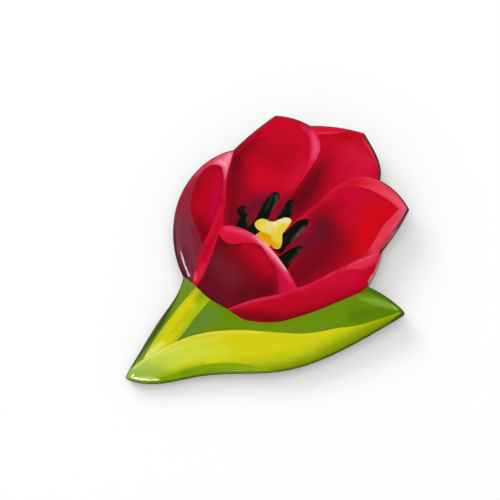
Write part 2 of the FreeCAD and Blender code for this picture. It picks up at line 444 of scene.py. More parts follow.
def inside(points, polygon):
    """Which of the points lie inside the closed polygon."""
    found = np.zeros(len(points), bool)
    x, y = points.T
    for (ax, ay), (bx, by) in zip(polygon, np.roll(polygon, -1, 0)):
        if ay != by:
            crosses = (ay > y) != (by > y)
            found ^= crosses & (x < (bx - ax) * (y - ay) / (by - ay) + ax)
    return found


curve_step = 0.25
curve_samples = 12          # between two knots


def curve(*knots):
    """A smooth line through given knots, with a point at each step."""
    knots = np.array(knots, float)
    if len(knots) == 2:
        return along(knots, curve_step)
    padded = np.vstack([2 * knots[0] - knots[1], knots, 2 * knots[-1] - knots[-2]])
    pieces = []
    for p0, p1, p2, p3 in zip(padded, padded[1:], padded[2:], padded[3:]):
        t = np.linspace(0, 1, curve_samples, endpoint=False)[:, None]
        pieces.append(0.5 * (2 * p1 + (p2 - p0) * t + (2 * p0 - 5 * p1 + 4 * p2 - p3) * t ** 2
                             + (3 * p1 - p0 - 3 * p2 + p3) * t ** 3))
    return along(np.vstack(pieces + [knots[-1:]]), curve_step)


# Paints, as they look under white light. The pale side ones are painted reflections of the floor
paints = {
    "scarlet": "#d60610", "bright_red": "#c00a18", "crimson": "#c60826", "deep_red": "#ac081c",
    "vein_red": "#8a0a18", "rose": "#da1840", "coral": "#e23a4e", "salmon": "#ee6070",
    "pink": "#ea5878", "pale_pink": "#f090ac", "blush": "#f2a0a2", "magenta": "#cc0644",
    "orchid": "#e058a0", "wine": "#8c0c1e", "maroon": "#720a18", "dusk_maroon": "#6c1622",
    "dark_maroon": "#560a14", "violet": "#5c1630", "plum": "#4a1022", "mauve": "#80303f",
    "dusky_rose": "#8e5060", "rose_mauve": "#a4223a", "edge_black": "#2a0a0e",
    "leaf_green": "#688c0a", "moss": "#708f30", "dull_green": "#66882c", "shade_green": "#486014",
    "dark_green": "#466e08", "mist_green": "#86aa44", "bluish_green": "#5c8450", "lime": "#a4bc18",
    "spring": "#96bc46", "pale_spring": "#bcd656", "yellow": "#d6d012", "fresh_yellow": "#d2de44",
    "pale_yellow": "#dce66c", "cream_yellow": "#e8ec98", "olive": "#869404", "grass": "#709408",
    "bright_grass": "#82a608", "edge_green": "#38480c", "anther_black": "#121412",
    "anther_grey": "#6a6e68", "pistil_yellow": "#e6ce40", "cream": "#f0e6d0", "apricot": "#ecb060",
    "orange": "#e6a008", "amber": "#c88410", "side_brown": "#7c3c38", "side_green": "#5c5c30",
    "side_floor_reflection": "#deb4ac", "side_grey_reflection": "#9a9080",
}


def paint_value(name):
    """A paint's red, green and blue from 0 to 1, as the eye sees them."""
    digits = paints[name][1:]
    return np.array([int(digits[i:i + 2], 16) / 255 for i in (0, 2, 4)])


def brush(paint, strength, soft, *path):
    """A soft stroke: its path is rows of X, Y and width, and soft is the blur of its edge."""
    return paint_value(paint), strength, soft, np.array(path, float)


vein_piece = 4              # points of a vein that share one strength
vein_fade = 0.7             # lost from a vein's start to its end
vein_loss = 0.5             # lost from the first vein to the last
shortest_vein = 0.7         # of the drawn length
uneven_lengths = 0.618      # step that keeps neighbours' lengths apart


def veins(paint, strength, soft, first, last, count, width):
    """Thin strokes side by side that fade from the first path to the last."""
    first, last = np.array(first, float), np.array(last, float)
    made = []
    for number in range(count):
        share = number / (count - 1)
        line = curve(*(first * (1 - share) + last * share))
        length = shortest_vein + (1 - shortest_vein) * (number * uneven_lengths % 1)
        line = line[:int(len(line) * length)]
        for start in range(0, len(line) - 1, vein_piece):
            part = line[start:start + vein_piece + 1]
            left = (1 - vein_fade * start / len(line)) * (1 - vein_loss * share)
            made.append((paint, strength * left, soft,
                         *np.column_stack([part, np.full(len(part), width)])))
    return made


def brushed(points, colours, strokes):
    """The colours at the points after the strokes are laid over them in turn."""
    for colour, strength, soft, path in strokes:
        gap, index, share = distance_to(points, path[:, :2])
        width = path[index, 2] * (1 - share) + path[index + 1, 2] * share
        cover = np.clip((width / 2 + soft / 2 - gap) / soft, 0, 1)
        cover = (strength * cover ** 2 * (3 - 2 * cover))[:, None]
        colours = colours * (1 - cover) + colour * cover
    return colours


areas = []


def area(name, edge, base, fibres, finish="petal", on=None, strokes=()):
    """An area of paint: its edge, its base paint, and the two lines that its brush marks run between.

    Where on is given, it covers only the areas that on names. A stroke says what brush takes."""
    areas.append({"name": name, "edge": np.array(edge, float), "base": paint_value(base),
                  "fibres": fibres, "finish": finish, "on": on,
                  "strokes": [brush(*stroke) for stroke in strokes]})


def joined(*lines):
    """Lines end to end as one closed edge."""
    return np.vstack([np.array(line, float) for line in lines])


def nearest(line, place):
    """The number of the line's point nearest to a place."""
    return int(np.hypot(*(line - place).T).argmin())


def stretch(line, first, last):
    """The part of a line between the points nearest to two places, in that direction."""
    start, end = nearest(line, first), nearest(line, last)
    return line[start:end + 1] if start <= end else line[end:start + 1][::-1]


# Edges between the painted areas, in millimetres on the board's front
flower_bottom = curve(
    (-19.9, -6.3), (-17.1, -8.4), (-15.6, -9.9), (-13.3, -11.9), (-9.3, -14.2), (-6.9, -15.8),
    (-5.0, -16.9), (-3.5, -17.2), (0.4, -17.6), (4.3, -17.3), (8.3, -16.2), (11.2, -15.3),
    (14.8, -13.9), (20.0, -11.8), (23.1, -10.4), (24.9, -9.1))
stem_left = curve(
    (-15.0, -7.4), (-16.8, -9.1), (-19.7, -12.3), (-23.0, -16.4), (-26.5, -21.2), (-28.4, -24.2),
    (-29.9, -26.7))
stem_right = curve((-21.1, -21.6), (-19.0, -19.1), (-16.6, -15.9), (-13.2, -12.1), (-11.6, -10.4))
leaf_fold = curve(
    (-34.4, -30.2), (-32.4, -28.4), (-30.2, -26.6), (-27.4, -25.0), (-25.0, -23.9), (-21.3, -22.0),
    (-17.8, -20.7), (-13.1, -19.7), (-9.6, -19.4), (-5.0, -19.3), (-1.1, -19.6), (1.7, -19.8),
    (6.9, -20.2), (9.5, -20.2), (13.2, -19.8), (17.3, -19.0), (22.5, -18.3), (27.7, -16.8),
    (31.8, -15.4))
leaf_crease = curve(
    (-31.6, -32.6), (-28.6, -31.6), (-25.0, -30.6), (-21.6, -29.6), (-18.2, -28.4), (-14.8, -27.6),
    (-11.2, -27.2), (-7.0, -27.2), (-2.6, -27.8), (2.0, -28.8), (5.2, -29.8))
left_petal_right = curve(
    (-7.3, 24.6), (-8.3, 21.2), (-9.1, 17.8), (-9.5, 12.5), (-9.8, 9.6), (-10.2, 5.9))
left_inner_left = curve(
    (-14.8, 19.5), (-17.0, 15.8), (-18.0, 12.1), (-18.1, 9.5), (-17.2, 6.5), (-15.9, 3.4),
    (-15.0, 1.3))
left_inner_top = curve((-14.8, 19.5), (-13.2, 20.4), (-11.6, 20.6), (-10.4, 19.9), (-9.9, 17.8))
left_inner_right = curve((-9.9, 17.8), (-10.2, 14.0), (-10.6, 11.2), (-11.6, 9.2))
strip_left = curve(
    (-9.5, 14.5), (-10.2, 12.5), (-11.6, 9.2), (-13.3, 4.9), (-15.0, 1.3), (-16.3, -2.2),
    (-16.8, -4.6), (-17.3, -6.3), (-17.6, -8.0))
strip_right = curve(
    (-10.2, 5.9), (-11.2, 3.4), (-12.4, -0.1), (-13.7, -3.5), (-15.0, -6.5), (-16.6, -8.8))
top_rim_outer = curve(
    (11.0, 30.4), (12.4, 27.8), (13.3, 26.1), (13.5, 24.6), (13.0, 22.4), (11.7, 20.3), (10.0, 17.7),
    (8.1, 15.2), (6.1, 12.0))
top_rim_inner = curve(
    (8.6, 30.4), (8.9, 29.1), (10.5, 27.4), (11.0, 25.4), (10.9, 22.4), (10.0, 18.6), (8.1, 15.2))
back_fold_edge = curve((12.6, 27.5), (16.7, 27.6), (20.1, 27.9), (23.4, 27.5))
right_outer = curve(
    (27.9, 16.2), (25.2, 16.9), (22.0, 16.9), (19.2, 16.0), (16.7, 14.4), (14.2, 12.2), (10.2, 9.0),
    (6.7, 6.2), (4.8, 4.3))
right_inner_top = curve(
    (14.2, 11.8), (16.2, 13.4), (18.8, 14.6), (21.8, 14.9), (25.2, 14.1), (28.4, 12.4), (30.5, 11.0),
    (32.4, 9.4))
right_inner_low = curve(
    (32.4, 9.4), (30.5, 7.4), (28.4, 5.1), (26.5, 1.9), (24.7, -0.8), (22.0, -2.7), (20.0, -4.1))
front_top = curve(
    (-10.4, 5.7), (-8.9, 5.9), (-7.0, 5.6), (-4.6, 4.7), (-2.1, 3.3), (0.4, 1.3), (3.1, -1.7),
    (5.3, -4.7), (6.9, -7.3), (8.0, -9.6))
front_rim_inner = curve(
    (-11.0, 3.6), (-9.8, 2.1), (-8.1, 1.4), (-3.7, 1.6), (-1.3, 1.1), (-0.2, 0.0), (1.1, -2.1),
    (2.6, -4.5), (3.1, -7.5), (3.2, -11.2))
bottom_upper = curve(
    (-9.4, -14.4), (-5.9, -13.0), (-1.5, -11.7), (3.8, -10.7), (7.7, -9.4), (10.2, -8.6),
    (13.4, -7.1), (16.6, -5.4), (19.8, -4.0), (23.0, -2.5), (26.3, -1.1), (28.6, -0.3))
bottom_roll_low = curve(
    (14.0, -7.6), (16.6, -6.5), (18.8, -5.7), (21.3, -4.9), (23.7, -5.1), (25.8, -4.2), (27.3, -3.0),
    (28.3, -0.9))

# The leaf behind the flower, the stem, and the leaf's fold in front
area(
    "leaf_back", [(-60, -60), (60, -60), (60, 60), (-60, 60)], "leaf_green",
    (flower_bottom, leaf_fold), finish="leaf", strokes=[
        ("dull_green", 0.95, 5, (-14, -16, 5), (-19, -20, 5)),
        ("shade_green", 0.35, 2.5, (-21.5, -22.3, 1), (-10, -19.9, 1), (-2, -19.9, 0.6)),
        ("grass", 0.5, 4, (-8, -18, 1.5), (8, -18.6, 1.5), (18, -17, 1)),
        ("moss", 0.5, 2, (3, -19.2, 0.8), (10, -19.4, 1), (16, -18.6, 0.6)),
        ("dark_green", 0.5, 3, (22, -16, 3), (27, -15.4, 2), (32, -15, 1)),
        # Painted reflection: this pale green stroke is the lacquer's shine along the right tip's upper
        # edge
        ("mist_green", 0.75, 0.8, (22.8, -11.9, 0.5), (26.4, -12.6, 1.7), (29.6, -13.6, 1.4),
         (31.8, -14.6, 0.4)),
        ("dark_green", 0.85, 0.6, (21, -10.4, 1), (25, -9.9, 1.1), (28.6, -11.6, 1.0),
         (31.4, -13.3, 0.9), (33.6, -15.2, 0.9)),
        # Painted highlight: the bright glint at the leaf's right tip
        ("fresh_yellow", 0.7, 0.4, (30.4, -13.5, 0.1), (31.7, -14.5, 0.25))])
area(
    "stem_side", joined(stem_left, [(-45, -40), (-45, 0), (-19.9, -6.3)]), "moss",
    (stem_left, outline), finish="leaf", strokes=[
        ("bluish_green", 0.8, 1.2, (-28.4, -24.6, 0.6), (-31.4, -28.8, 1.2), (-33.6, -31, 1)),
        ("grass", 0.6, 2, (-19.4, -9.6, 1.6), (-22, -14.4, 1.2), (-26, -20.6, 0.8)),
        ("mist_green", 0.4, 0.6, (-19.6, -12.4, 0.4), (-22.6, -16.4, 0.4), (-26, -21, 0.3)),
        ("mist_green", 0.7, 1, (-28.6, -23.4, 0.6), (-31.4, -27, 0.8)),
        ("edge_green", 0.95, 1.1, (-20.3, -7, 0.6), (-21.8, -11.4, 0.9), (-25.2, -17.6, 1),
         (-29.8, -24.4, 0.5), (-33.6, -29.4, 0.3))])
area(
    "stem", joined(stem_left, [(-24, -24)], stem_right), "yellow", (stem_left, stem_right),
    finish="leaf", on=("leaf_back", "stem_side"), strokes=[
        ("spring", 0.5, 1.0, (-18.6, -10.6, 0.4), (-23, -16.8, 0.4), (-28, -24, 0.3)),
        ("lime", 0.9, 1.6, (-13.6, -12.4, 2.4), (-17.5, -17.5, 2.6), (-21.5, -23, 2.6)),
        ("grass", 0.9, 3, (-14.9, -10.7, 2.2), (-16.2, -12, 1.2)),
        ("lime", 0.6, 1.6, (-14.6, -11.6, 1), (-17, -14.2, 1), (-19.4, -17.2, 0.8)),
        ("moss", 0.6, 1.2, (-16.6, -8.6, 1), (-18.6, -11, 0.4)),
        ("cream_yellow", 0.85, 1.5, (-24.8, -22.4, 0.8), (-28.5, -25.4, 1.4)),
        ("olive", 0.3, 1.2, (-18.2, -14.4, 0.8), (-22.2, -19.8, 0.8))])
area(
    "leaf_front", joined(leaf_fold, [(45, -15), (45, -45), (-45, -45), (-45, -30.2)]), "yellow",
    (leaf_fold, outline), finish="leaf", on=("leaf_back", "stem", "stem_side"), strokes=[
        ("fresh_yellow", 0.9, 5, (-24, -26, 5), (-17, -24.6, 4), (-9, -24.4, 1.5)),
        ("pale_spring", 0.9, 5, (-31, -29, 5), (-25.6, -27.2, 3.5), (-20, -26.4, 0.6)),
        ("spring", 0.95, 4, (-36, -31, 5), (-29, -29.4, 3), (-24.6, -29.2, 1)),
        ("pale_yellow", 0.6, 2.2, (-27.6, -26, 0.8), (-19, -22.6, 1), (-11, -21.2, 0.6)),
        ("lime", 0.95, 5, (-9, -28.6, 2), (0, -28.2, 3), (9, -26.8, 3.6), (17, -23.6, 3.6),
         (25, -19.8, 3), (31, -16.6, 1.6)),
        ("olive", 0.9, 3.4, (-4, -29.8, 1.6), (6, -28.6, 2.6), (14, -26.2, 3), (21, -22.6, 3),
         (27, -19.2, 2.8), (32.6, -16.2, 1.6)),
        ("olive", 0.4, 3.5, (14, -24.4, 2), (22, -20.8, 3), (30, -16.6, 2)),
        ("grass", 0.9, 2.6, (-9, -30.8, 1.6), (0, -30.4, 1.8), (10, -28.8, 1.8), (18, -25.6, 1.8),
         (25, -21.6, 1.6), (31, -17.8, 1.4)),
        ("dark_green", 0.7, 1.4, (4, -30, 0.6), (14, -27.4, 0.8), (24, -22.2, 0.8), (32, -17.2, 1)),
        ("grass", 0.95, 1.4, (-34, -31.5, 1), (-28.6, -32.6, 1.8), (-22, -32.6, 1.2)),
        ("bright_grass", 0.85, 2.4, (-31, -32.2, 1.2), (-25, -30.6, 1.2), (-20, -29, 0.8),
         (-14.8, -27.6, 0.4)),
        ("dark_green", 0.9, 0.8, (30.8, -17.4, 0.8), (32.7, -16.3, 1.6), (33.6, -15.4, 1.4)),
        # Painted highlight: the lacquer's glint at the leaf's left tip, laid in pale cream under the
        # lamp's own
        ("cream", 0.6, 0.6, (-31.6, -31.1, 0.15), (-29.8, -30.8, 0.45), (-27.8, -30.8, 0.4),
         (-26.6, -30.9, 0.15)),
        ("cream_yellow", 0.8, 0.4, (-31.8, -28.4, 0.1), (-28.6, -26.1, 0.25), (-25.3, -24.4, 0.35),
         (-22.6, -23, 0.2), (-21.2, -22.3, 0.05)),
        ("cream_yellow", 0.55, 0.4, (-21.4, -22.4, 0.1), (-17.8, -21.0, 0.25), (-13.1, -20.1, 0.3),
         (-8, -19.8, 0.2), (-1, -20, 0.1))])
area(
    "leaf_shade", joined(leaf_crease, [(5.2, -45), (-45, -45), (-34, -32.6)]), "bright_grass",
    (leaf_crease, outline), finish="leaf", on=("leaf_front",), strokes=[
        ("dark_green", 0.35, 1.2, (-28, -32.6, 1), (-20, -31.2, 0.6), (-12, -30.2, 0.5)),
        ("lime", 0.5, 1.6, (-18, -28.6, 0.4), (-10, -28.2, 0.8), (-4, -28.6, 1)),
        ("lime", 0.85, 3, (-2, -28.6, 1.6), (5, -29.4, 1.6)),
        ("dark_green", 0.3, 2, (-20, -29.6, 0.8), (-12, -28.8, 1), (-7, -28.8, 0.8)),
        # Painted reflection: a pale band of the lacquer's shine just above the leaf's lower edge
        ("mist_green", 0.4, 0.8, (-23, -31.2, 0.3), (-18.1, -29.8, 0.4), (-12.4, -28.7, 0.5),
         (-7.5, -28.5, 0.3)),
        ("grass", 0.8, 2.2, (-9, -30.8, 1.6), (0, -30.2, 1.6), (8, -29.2, 1.2))])

# The flower: back petals first, then the stamens, then the petals in front
flower = joined(flower_bottom, [(29, -5), (45, -5), (45, 45), (-45, 45), (-45, -6)])
area(
    "back_petal", flower, "crimson", (top_rim_outer, right_outer), strokes=[
        ("maroon", 0.9, 2.5, (1, -3, 1.6), (4.4, -0.5, 1.6), (7, 2.6, 1.6), (9.4, 5, 1)),
        ("salmon", 0.7, 0.4, (23.6, 26.6, 0.1), (24.5, 25, 0.25), (25.7, 23.2, 0.25),
         (26.7, 21, 0.1)),
        ("rose", 0.85, 7, (21, 23, 4), (25.5, 20, 4), (21.5, 17.5, 2)),
        ("bright_red", 0.9, 2.5, (14, 26.4, 1.5), (23, 26.3, 1.5)),
        ("deep_red", 0.6, 1.6, (13.6, 27, 0.6), (19, 27, 0.8), (22.6, 26.8, 0.5)),
        ("magenta", 0.5, 4, (17.5, 19, 2), (20.5, 18.5, 2)),
        ("maroon", 0.95, 8, (4, 7, 6), (10, 13, 5.6), (13.2, 18.3, 3.6), (14.4, 20.5, 1)),
        ("dark_maroon", 0.6, 4, (8, 11, 3), (11.4, 16, 2.6), (12.6, 18.4, 1)),
        ("bright_red", 0.6, 1.6, (26.8, 21.4, 0.4), (27, 17.4, 0.8)),
        ("coral", 0.9, 0.45, (23.9, 27.2, 0.15), (25.3, 24.4, 0.3), (26.6, 21.6, 0.25),
         (27, 20.2, 0.1))])
area(
    "back_fold", joined(back_fold_edge, [(24.4, 29), (22, 40), (9, 40), (11, 29.5)]), "rose",
    (back_fold_edge, outline), on=("back_petal",), strokes=[
        ("scarlet", 0.5, 1.6, (11.4, 28.9, 1), (16, 28.5, 1), (20, 28, 0.8)),
        ("pink", 0.5, 0.6, (12.2, 27.6, 0.2), (14.4, 27.7, 0.3), (17, 27.9, 0.1)),
        ("bright_red", 0.8, 2, (20, 28.2, 1), (24, 27.6, 1))])
area(
    "top_petal", joined(left_petal_right[::-1], [(-9, 28), (-5, 45), (11, 45)], top_rim_outer,
        [(3.5, 6), (0, 2), (-6, 3)]), "crimson", (left_petal_right, top_rim_outer),
    on=("back_petal", "back_fold"), strokes=[
        ("deep_red", 0.75, 6, (-2, 24, 5), (3, 22, 5), (6, 24, 2)),
        ("scarlet", 0.35, 5, (-1, 17.5, 4), (3, 16.5, 3)),
        ("vein_red", 0.7, 4, (-7, 22.6, 1), (-3.6, 25.6, 1)),
        ("maroon", 0.9, 5.5, (-7.8, 21, 0.6), (-7.8, 16.5, 3), (-7.8, 9, 4.5), (-6, 4, 6)),
        ("dusk_maroon", 0.9, 5, (-6, 6, 5), (1, 6, 5), (5, 7, 2.4)),
        ("maroon", 0.45, 4, (-4.4, 13.6, 3), (-2.4, 11.6, 3)),
        ("maroon", 0.75, 4, (3.5, 9.5, 3), (5.6, 12.4, 1.6)),
        ("maroon", 0.6, 5, (-7, 21.5, 2), (-5.5, 19.4, 3), (-6.5, 16.5, 3)),
        ("violet", 0.95, 5, (-4.5, 9.6, 2.5), (-1, 11, 3), (0.2, 12.4, 1)),
        ("rose", 0.6, 4, (6.2, 15.2, 1.6), (8.2, 17.4, 2), (10, 20.5, 1)),
        *veins("dark_maroon", 0.95, 0.45, [(-7.8, 23.2), (-5.8, 25.4), (-3.2, 27.6), (0.6, 30.0)],
               [(-7.8, 18.0), (-5.4, 20.8), (-2.6, 22.8), (0.8, 24.4)], 7, 0.35),
        ("crimson", 0.9, 0.6, (-8.7, 19.8, 0.3), (-8.1, 21.6, 0.35), (-7.2, 23.0, 0.4),
         (-4.2, 25.7, 0.5), (-2.8, 27.2, 0.4), (0.4, 29.9, 0.4), (2.4, 31.4, 0.2))])
area(
    "top_rim", joined(stretch(top_rim_outer, (11.0, 30.4), (8.6, 15.8)), top_rim_inner[::-1]), "rose",
    (top_rim_inner, top_rim_outer), on=("top_petal",), strokes=[
        ("bright_red", 0.6, 1.6, (8, 30.8, 1), (10.6, 29.6, 1)),
        ("pink", 0.85, 1.4, (11.5, 28, 0.4), (12.1, 26.4, 1.2), (12.4, 24, 1.2), (11.8, 21.8, 0.6)),
        ("orchid", 0.7, 0.7, (13.1, 25.6, 0.3), (13.2, 24, 0.6), (12.3, 21.8, 0.3)),
        ("rose", 0.6, 2, (9, 16.5, 1), (10, 18.5, 1))])
area(
    "right_petal", joined(right_outer[::-1], [(45, 16), (45, -3), (27, -3), (3, -14), (1, -4)]),
    "crimson", (right_outer, bottom_upper), on=("back_petal", "top_petal"), strokes=[
        ("scarlet", 0.95, 6, (31, 9.2, 3), (26, 7.5, 5), (23.5, 2, 5), (21, -1.5, 2)),
        ("magenta", 0.6, 5, (17.5, 11.5, 2), (21.5, 12.4, 2)),
        ("deep_red", 0.7, 5, (13, 8.5, 2), (18.5, 10.4, 3)),
        ("wine", 0.8, 8, (12, 7, 2), (16, 4, 4), (19, 0.5, 3)),
        ("maroon", 0.9, 8, (7, -7, 8), (13, -2.5, 8), (15.6, 2, 3), (13, 6, 1)),
        ("deep_red", 0.6, 5, (13, 10.7, 2), (16, 8.5, 2)),
        ("maroon", 0.4, 8, (14.5, 8, 4), (16, 2, 6), (18, -2.5, 4)),
        ("deep_red", 0.6, 4, (22, 2.4, 1.5), (20.5, -1, 1.5)),
        ("violet", 0.9, 6, (8, -0.5, 2), (11, 2.2, 3.4), (14.4, 5.2, 3)),
        ("maroon", 0.85, 2, (2, -2.6, 1), (4.4, -0.5, 1), (8.6, 3.4, 1)),
        ("violet", 0.5, 3, (6.4, -0.6, 1.2), (9.6, 1.8, 1.6)),
        ("rose", 0.5, 1.4, (8, 6.6, 0.4), (14, 11.2, 0.5), (17, 13.2, 0.4))])
area(
    "right_rim", joined(right_inner_top[::-1], stretch(right_outer, (14.2, 12.2), (27.9, 16.2)),
        [(45, 17), (45, -2), (24, -3)], right_inner_low[::-1]), "coral", (right_inner_top, outline),
    on=("right_petal", "back_petal"), strokes=[
        ("crimson", 0.95, 4, (13, 11, 1), (16.6, 14, 2), (21, 15.8, 2), (23, 16, 1)),
        ("scarlet", 0.5, 2.4, (20, 15.8, 1.5), (26, 15.6, 1)),
        ("rose", 0.5, 1, (14, 11.9, 0.5), (17, 14.2, 0.5), (20.6, 15.6, 0.5)),
        ("salmon", 0.5, 2, (29, 13.4, 1), (32.4, 10.6, 1)),
        ("pink", 0.75, 2.2, (31.4, 12, 0.6), (33.4, 9.2, 2), (31.8, 5.8, 0.8), (30.2, 3.6, 0.5)),
        ("pale_pink", 0.55, 0.7, (33.2, 10.4, 0.3), (34, 9.2, 0.5), (33, 7.4, 0.3)),
        ("coral", 0.7, 1.2, (29.4, 4.6, 0.6), (27.2, 1, 0.8)),
        ("bright_red", 0.95, 2.6, (24.8, -1.4, 1.2), (22, -2.8, 1.4), (20, -4, 1))])

stamen_finish = {"finish": "stamen", "on": ("back_petal", "top_petal", "right_petal")}
area(
    "stamen_far_left", curve((-4.2, 7.4), (-3.8, 8.2), (-4.9, 9.2), (-4.7, 10.2), (-5.6, 10.6),
        (-6.6, 9.8), (-6.6, 8.6), (-5.9, 7.9), (-6.6, 6.6), (-7.0, 4.9), (-4.4, 4.3), (-4.2, 7.4)),
    "anther_black", (curve((-6.8, 5), (-5.9, 9)), curve((-4.3, 5), (-4.2, 9))), **stamen_finish,
    strokes=[
        ("maroon", 0.5, 1, (-5.9, 10.2, 0.6), (-5.2, 9.2, 0.4)),
        ("anther_grey", 0.7, 0.5, (-4.1, 7.9, 0.2), (-4.2, 6.8, 0.3))])
area(
    "stamen_left", curve((-4.6, 4.6), (-2.5, 6.9), (-1.5, 8.7), (-0.3, 11.0), (1.0, 12.8),
        (2.4, 13.8), (3.6, 13.4), (3.7, 12.2), (2.8, 10.8), (1.3, 8.1), (-0.2, 5.2), (0.4, 2.6),
        (-2.0, 2.8), (-4.6, 4.6)), "anther_black",
    (curve((-3.8, 4), (1, 13)), curve((-0.2, 4), (3.6, 12.5))), **stamen_finish, strokes=[
        ("anther_grey", 0.75, 1.1, (1.9, 8.9, 0.2), (2.9, 11.2, 0.5), (3, 12.8, 0.5)),
        ("anther_grey", 0.35, 1, (1.8, 12.9, 0.6), (0.4, 9.6, 0.3))])
area(
    "stamen_top", curve((2.7, 7.2), (4.2, 9.7), (5.3, 11.2), (6.3, 12.0), (7.1, 11.4), (6.9, 9.9),
        (5.9, 7.4), (2.7, 7.2)), "anther_black", (curve((3, 7), (6, 12)), curve((6, 7), (7.2, 11))),
    **stamen_finish, strokes=[
        ("anther_grey", 0.6, 0.7, (3.5, 8.2, 0.3), (4.8, 10.2, 0.3)),
        ("anther_grey", 0.35, 0.6, (6.4, 9, 0.2), (6.8, 10.8, 0.3))])
area(
    "stamen_right", curve((2.3, -0.4), (2.8, 3.4), (4.6, 3.9), (5.9, 4.9), (7.4, 6.3), (9.0, 7.1),
        (10.5, 7.1), (10.4, 5.8), (9.3, 4.3), (7.4, 2.3), (5.4, 0.7), (4.0, -1.0), (2.3, -0.4)),
    "anther_black", (curve((4, 3.6), (10, 7.1)), curve((4.3, -0.1), (10.4, 5.8))), **stamen_finish,
    strokes=[
        ("anther_grey", 0.9, 1.1, (6.6, 1.9, 0.3), (8.3, 3.7, 0.7), (9.7, 5.2, 0.5))])
area(
    "stamen_low", curve((2.6, -2.4), (5.4, -0.5), (7.4, 0.5), (8.7, 0.8), (8.9, 0.1), (7.7, -1.8),
        (6.5, -3.1), (4.8, -5.4), (2.6, -2.4)), "anther_black",
    (curve((3.6, -1.6), (8.6, 0.8)), curve((5.3, -4), (8.8, 0))), **stamen_finish, strokes=[
        ("anther_grey", 0.6, 0.9, (5.9, -3.4, 0.3), (7.6, -1.6, 0.4), (8.5, -0.1, 0.3))])
pistil_on = ("back_petal", "top_petal", "right_petal", "stamen_left", "stamen_top", "stamen_right",
             "stamen_low")
area(
    "style", curve((-0.9, 4.4), (-2.2, 3.0), (0.9, 0.6), (1.7, 2.1), (0.9, 3.7), (-0.9, 4.4)),
    "orange", (curve((-0.9, 4.4), (-2.2, 3)), curve((1.7, 2.1), (0.9, 0.6))), finish="pistil",
    on=pistil_on, strokes=[
        ("amber", 0.6, 0.9, (-0.4, 3.9, 0.3), (1.5, 2.6, 0.3)),
        ("pistil_yellow", 0.5, 0.9, (-1.2, 2.6, 0.3), (0.6, 1.3, 0.3))])
area(
    "pistil", curve((-0.7, 7.4), (-1.9, 6.9), (-2.4, 6.0), (-1.8, 4.9), (-0.6, 4.2), (0.9, 3.6),
        (1.6, 2.8), (1.6, 1.3), (2.4, 0.2), (3.5, 0.1), (4.1, 1.0), (4.3, 2.4), (4.3, 3.5),
        (5.0, 4.5), (6.2, 6.1), (6.4, 7.1), (5.2, 7.6), (3.7, 7.2), (2.5, 6.7), (1.2, 6.7),
        (0.3, 7.2), (-0.7, 7.4)), "pistil_yellow",
    (curve((-2, 6), (1.6, 1.5)), curve((6, 7), (4.5, 2))), finish="pistil", on=pistil_on + ("style",),
    strokes=[
        ("cream", 0.75, 1.6, (0.9, 6.3, 0.8), (2.6, 6.1, 1.4), (4.6, 6.8, 0.8), (6, 6.8, 0.8)),
        ("cream", 0.3, 1.6, (1.6, 5, 1.4), (2.6, 4.6, 1)),
        ("cream", 0.8, 1.2, (3.8, 6.9, 0.6), (5.6, 7, 1)),
        ("cream", 0.4, 1.4, (-0.8, 5.8, 0.8), (0.8, 4.8, 1)),
        ("orange", 0.85, 1.2, (1.7, 1.7, 0.5), (2.9, 0.8, 1.1), (4.1, 1.1, 0.4)),
        ("amber", 0.45, 1, (1.6, 2.2, 0.4), (2.2, 1, 0.6), (3, 0.4, 0.4)),
        ("apricot", 0.6, 0.6, (2.6, 0.3, 0.3), (3.6, 0.4, 0.2))])
area(
    "front_petal",
    joined(front_top, [(9, -14), (-4, -25), (-20, -12), (-17.5, -8.2)], strip_right[::-1]), "maroon",
    (strip_right, front_top), on=("back_petal", "top_petal", "right_petal", "stamen_far_left",
        "stamen_left", "stamen_right", "stamen_low", "style", "pistil"), strokes=[
        ("dusk_maroon", 0.9, 6, (-13, -2, 4), (-9, -8, 5), (-5, -11, 3)),
        ("wine", 0.5, 6, (-8.5, -2.4, 3), (-5, -5, 3)),
        ("deep_red", 0.4, 6, (-4, -2, 3), (-1, -6, 3)),
        ("mauve", 0.4, 7, (-11, -3, 4), (-7.6, -6, 5)),
        ("crimson", 0.95, 5.5, (-4.6, -0.2, 2), (-1.4, -1.8, 4), (1.2, -5.2, 2.6)),
        ("deep_red", 0.5, 4, (-7.5, 0.2, 1.5), (-4, -1, 2)),
        ("violet", 0.6, 4, (-14.4, -4.5, 1.5), (-15, -8.6, 2.5), (-10.5, -12.8, 2.5)),
        ("plum", 0.6, 1.2, (-16.4, -9.2, 0.5), (-13.2, -11.8, 0.7), (-9.6, -14, 0.5)),
        ("dark_maroon", 0.4, 4, (-6, -11.5, 3), (0.5, -9.5, 2)),
        ("crimson", 0.5, 2, (2.2, -5, 0.7), (2.8, -8, 0.7), (2.8, -11, 0.7)),
        ("crimson", 0.9, 2.4, (-5, 1, 0.8), (-3.2, 0.6, 1.2), (-1.4, -0.6, 1.4), (0.8, -3.2, 0.8))])
area(
    "front_rim", joined(front_top, [(7.6, -11), (3.2, -11.8)], front_rim_inner[::-1]), "rose",
    (front_rim_inner, front_top), on=("front_petal",), strokes=[
        ("crimson", 0.6, 1.6, (-9.8, 2.6, 0.6), (-5.5, 1.8, 1), (-2, 1.6, 0.6)),
        ("magenta", 0.8, 2.4, (2, -3, 1), (4.6, -7, 2.4), (5.4, -10, 2.6)),
        ("wine", 0.85, 2, (2.2, -3.9, 0.3), (3.1, -7.6, 0.9), (3.1, -11, 1.2)),
        ("pink", 0.85, 1.5, (-9.4, 5.2, 0.5), (-4.7, 4.1, 1), (-1.4, 2.4, 1.5), (1.6, -0.6, 1.6),
         (4.2, -4, 1.2), (6.2, -7.6, 0.4)),
        ("blush", 0.8, 1.1, (-1.8, 2.6, 0.4), (0.4, 0.8, 1.2), (2.6, -1.6, 1), (5, -4.8, 0.4)),
        ("cream", 0.4, 0.5, (-2.6, 3.3, 0.2), (0.2, 1.1, 0.3), (2.9, -1.9, 0.3), (5.3, -5.2, 0.2))])
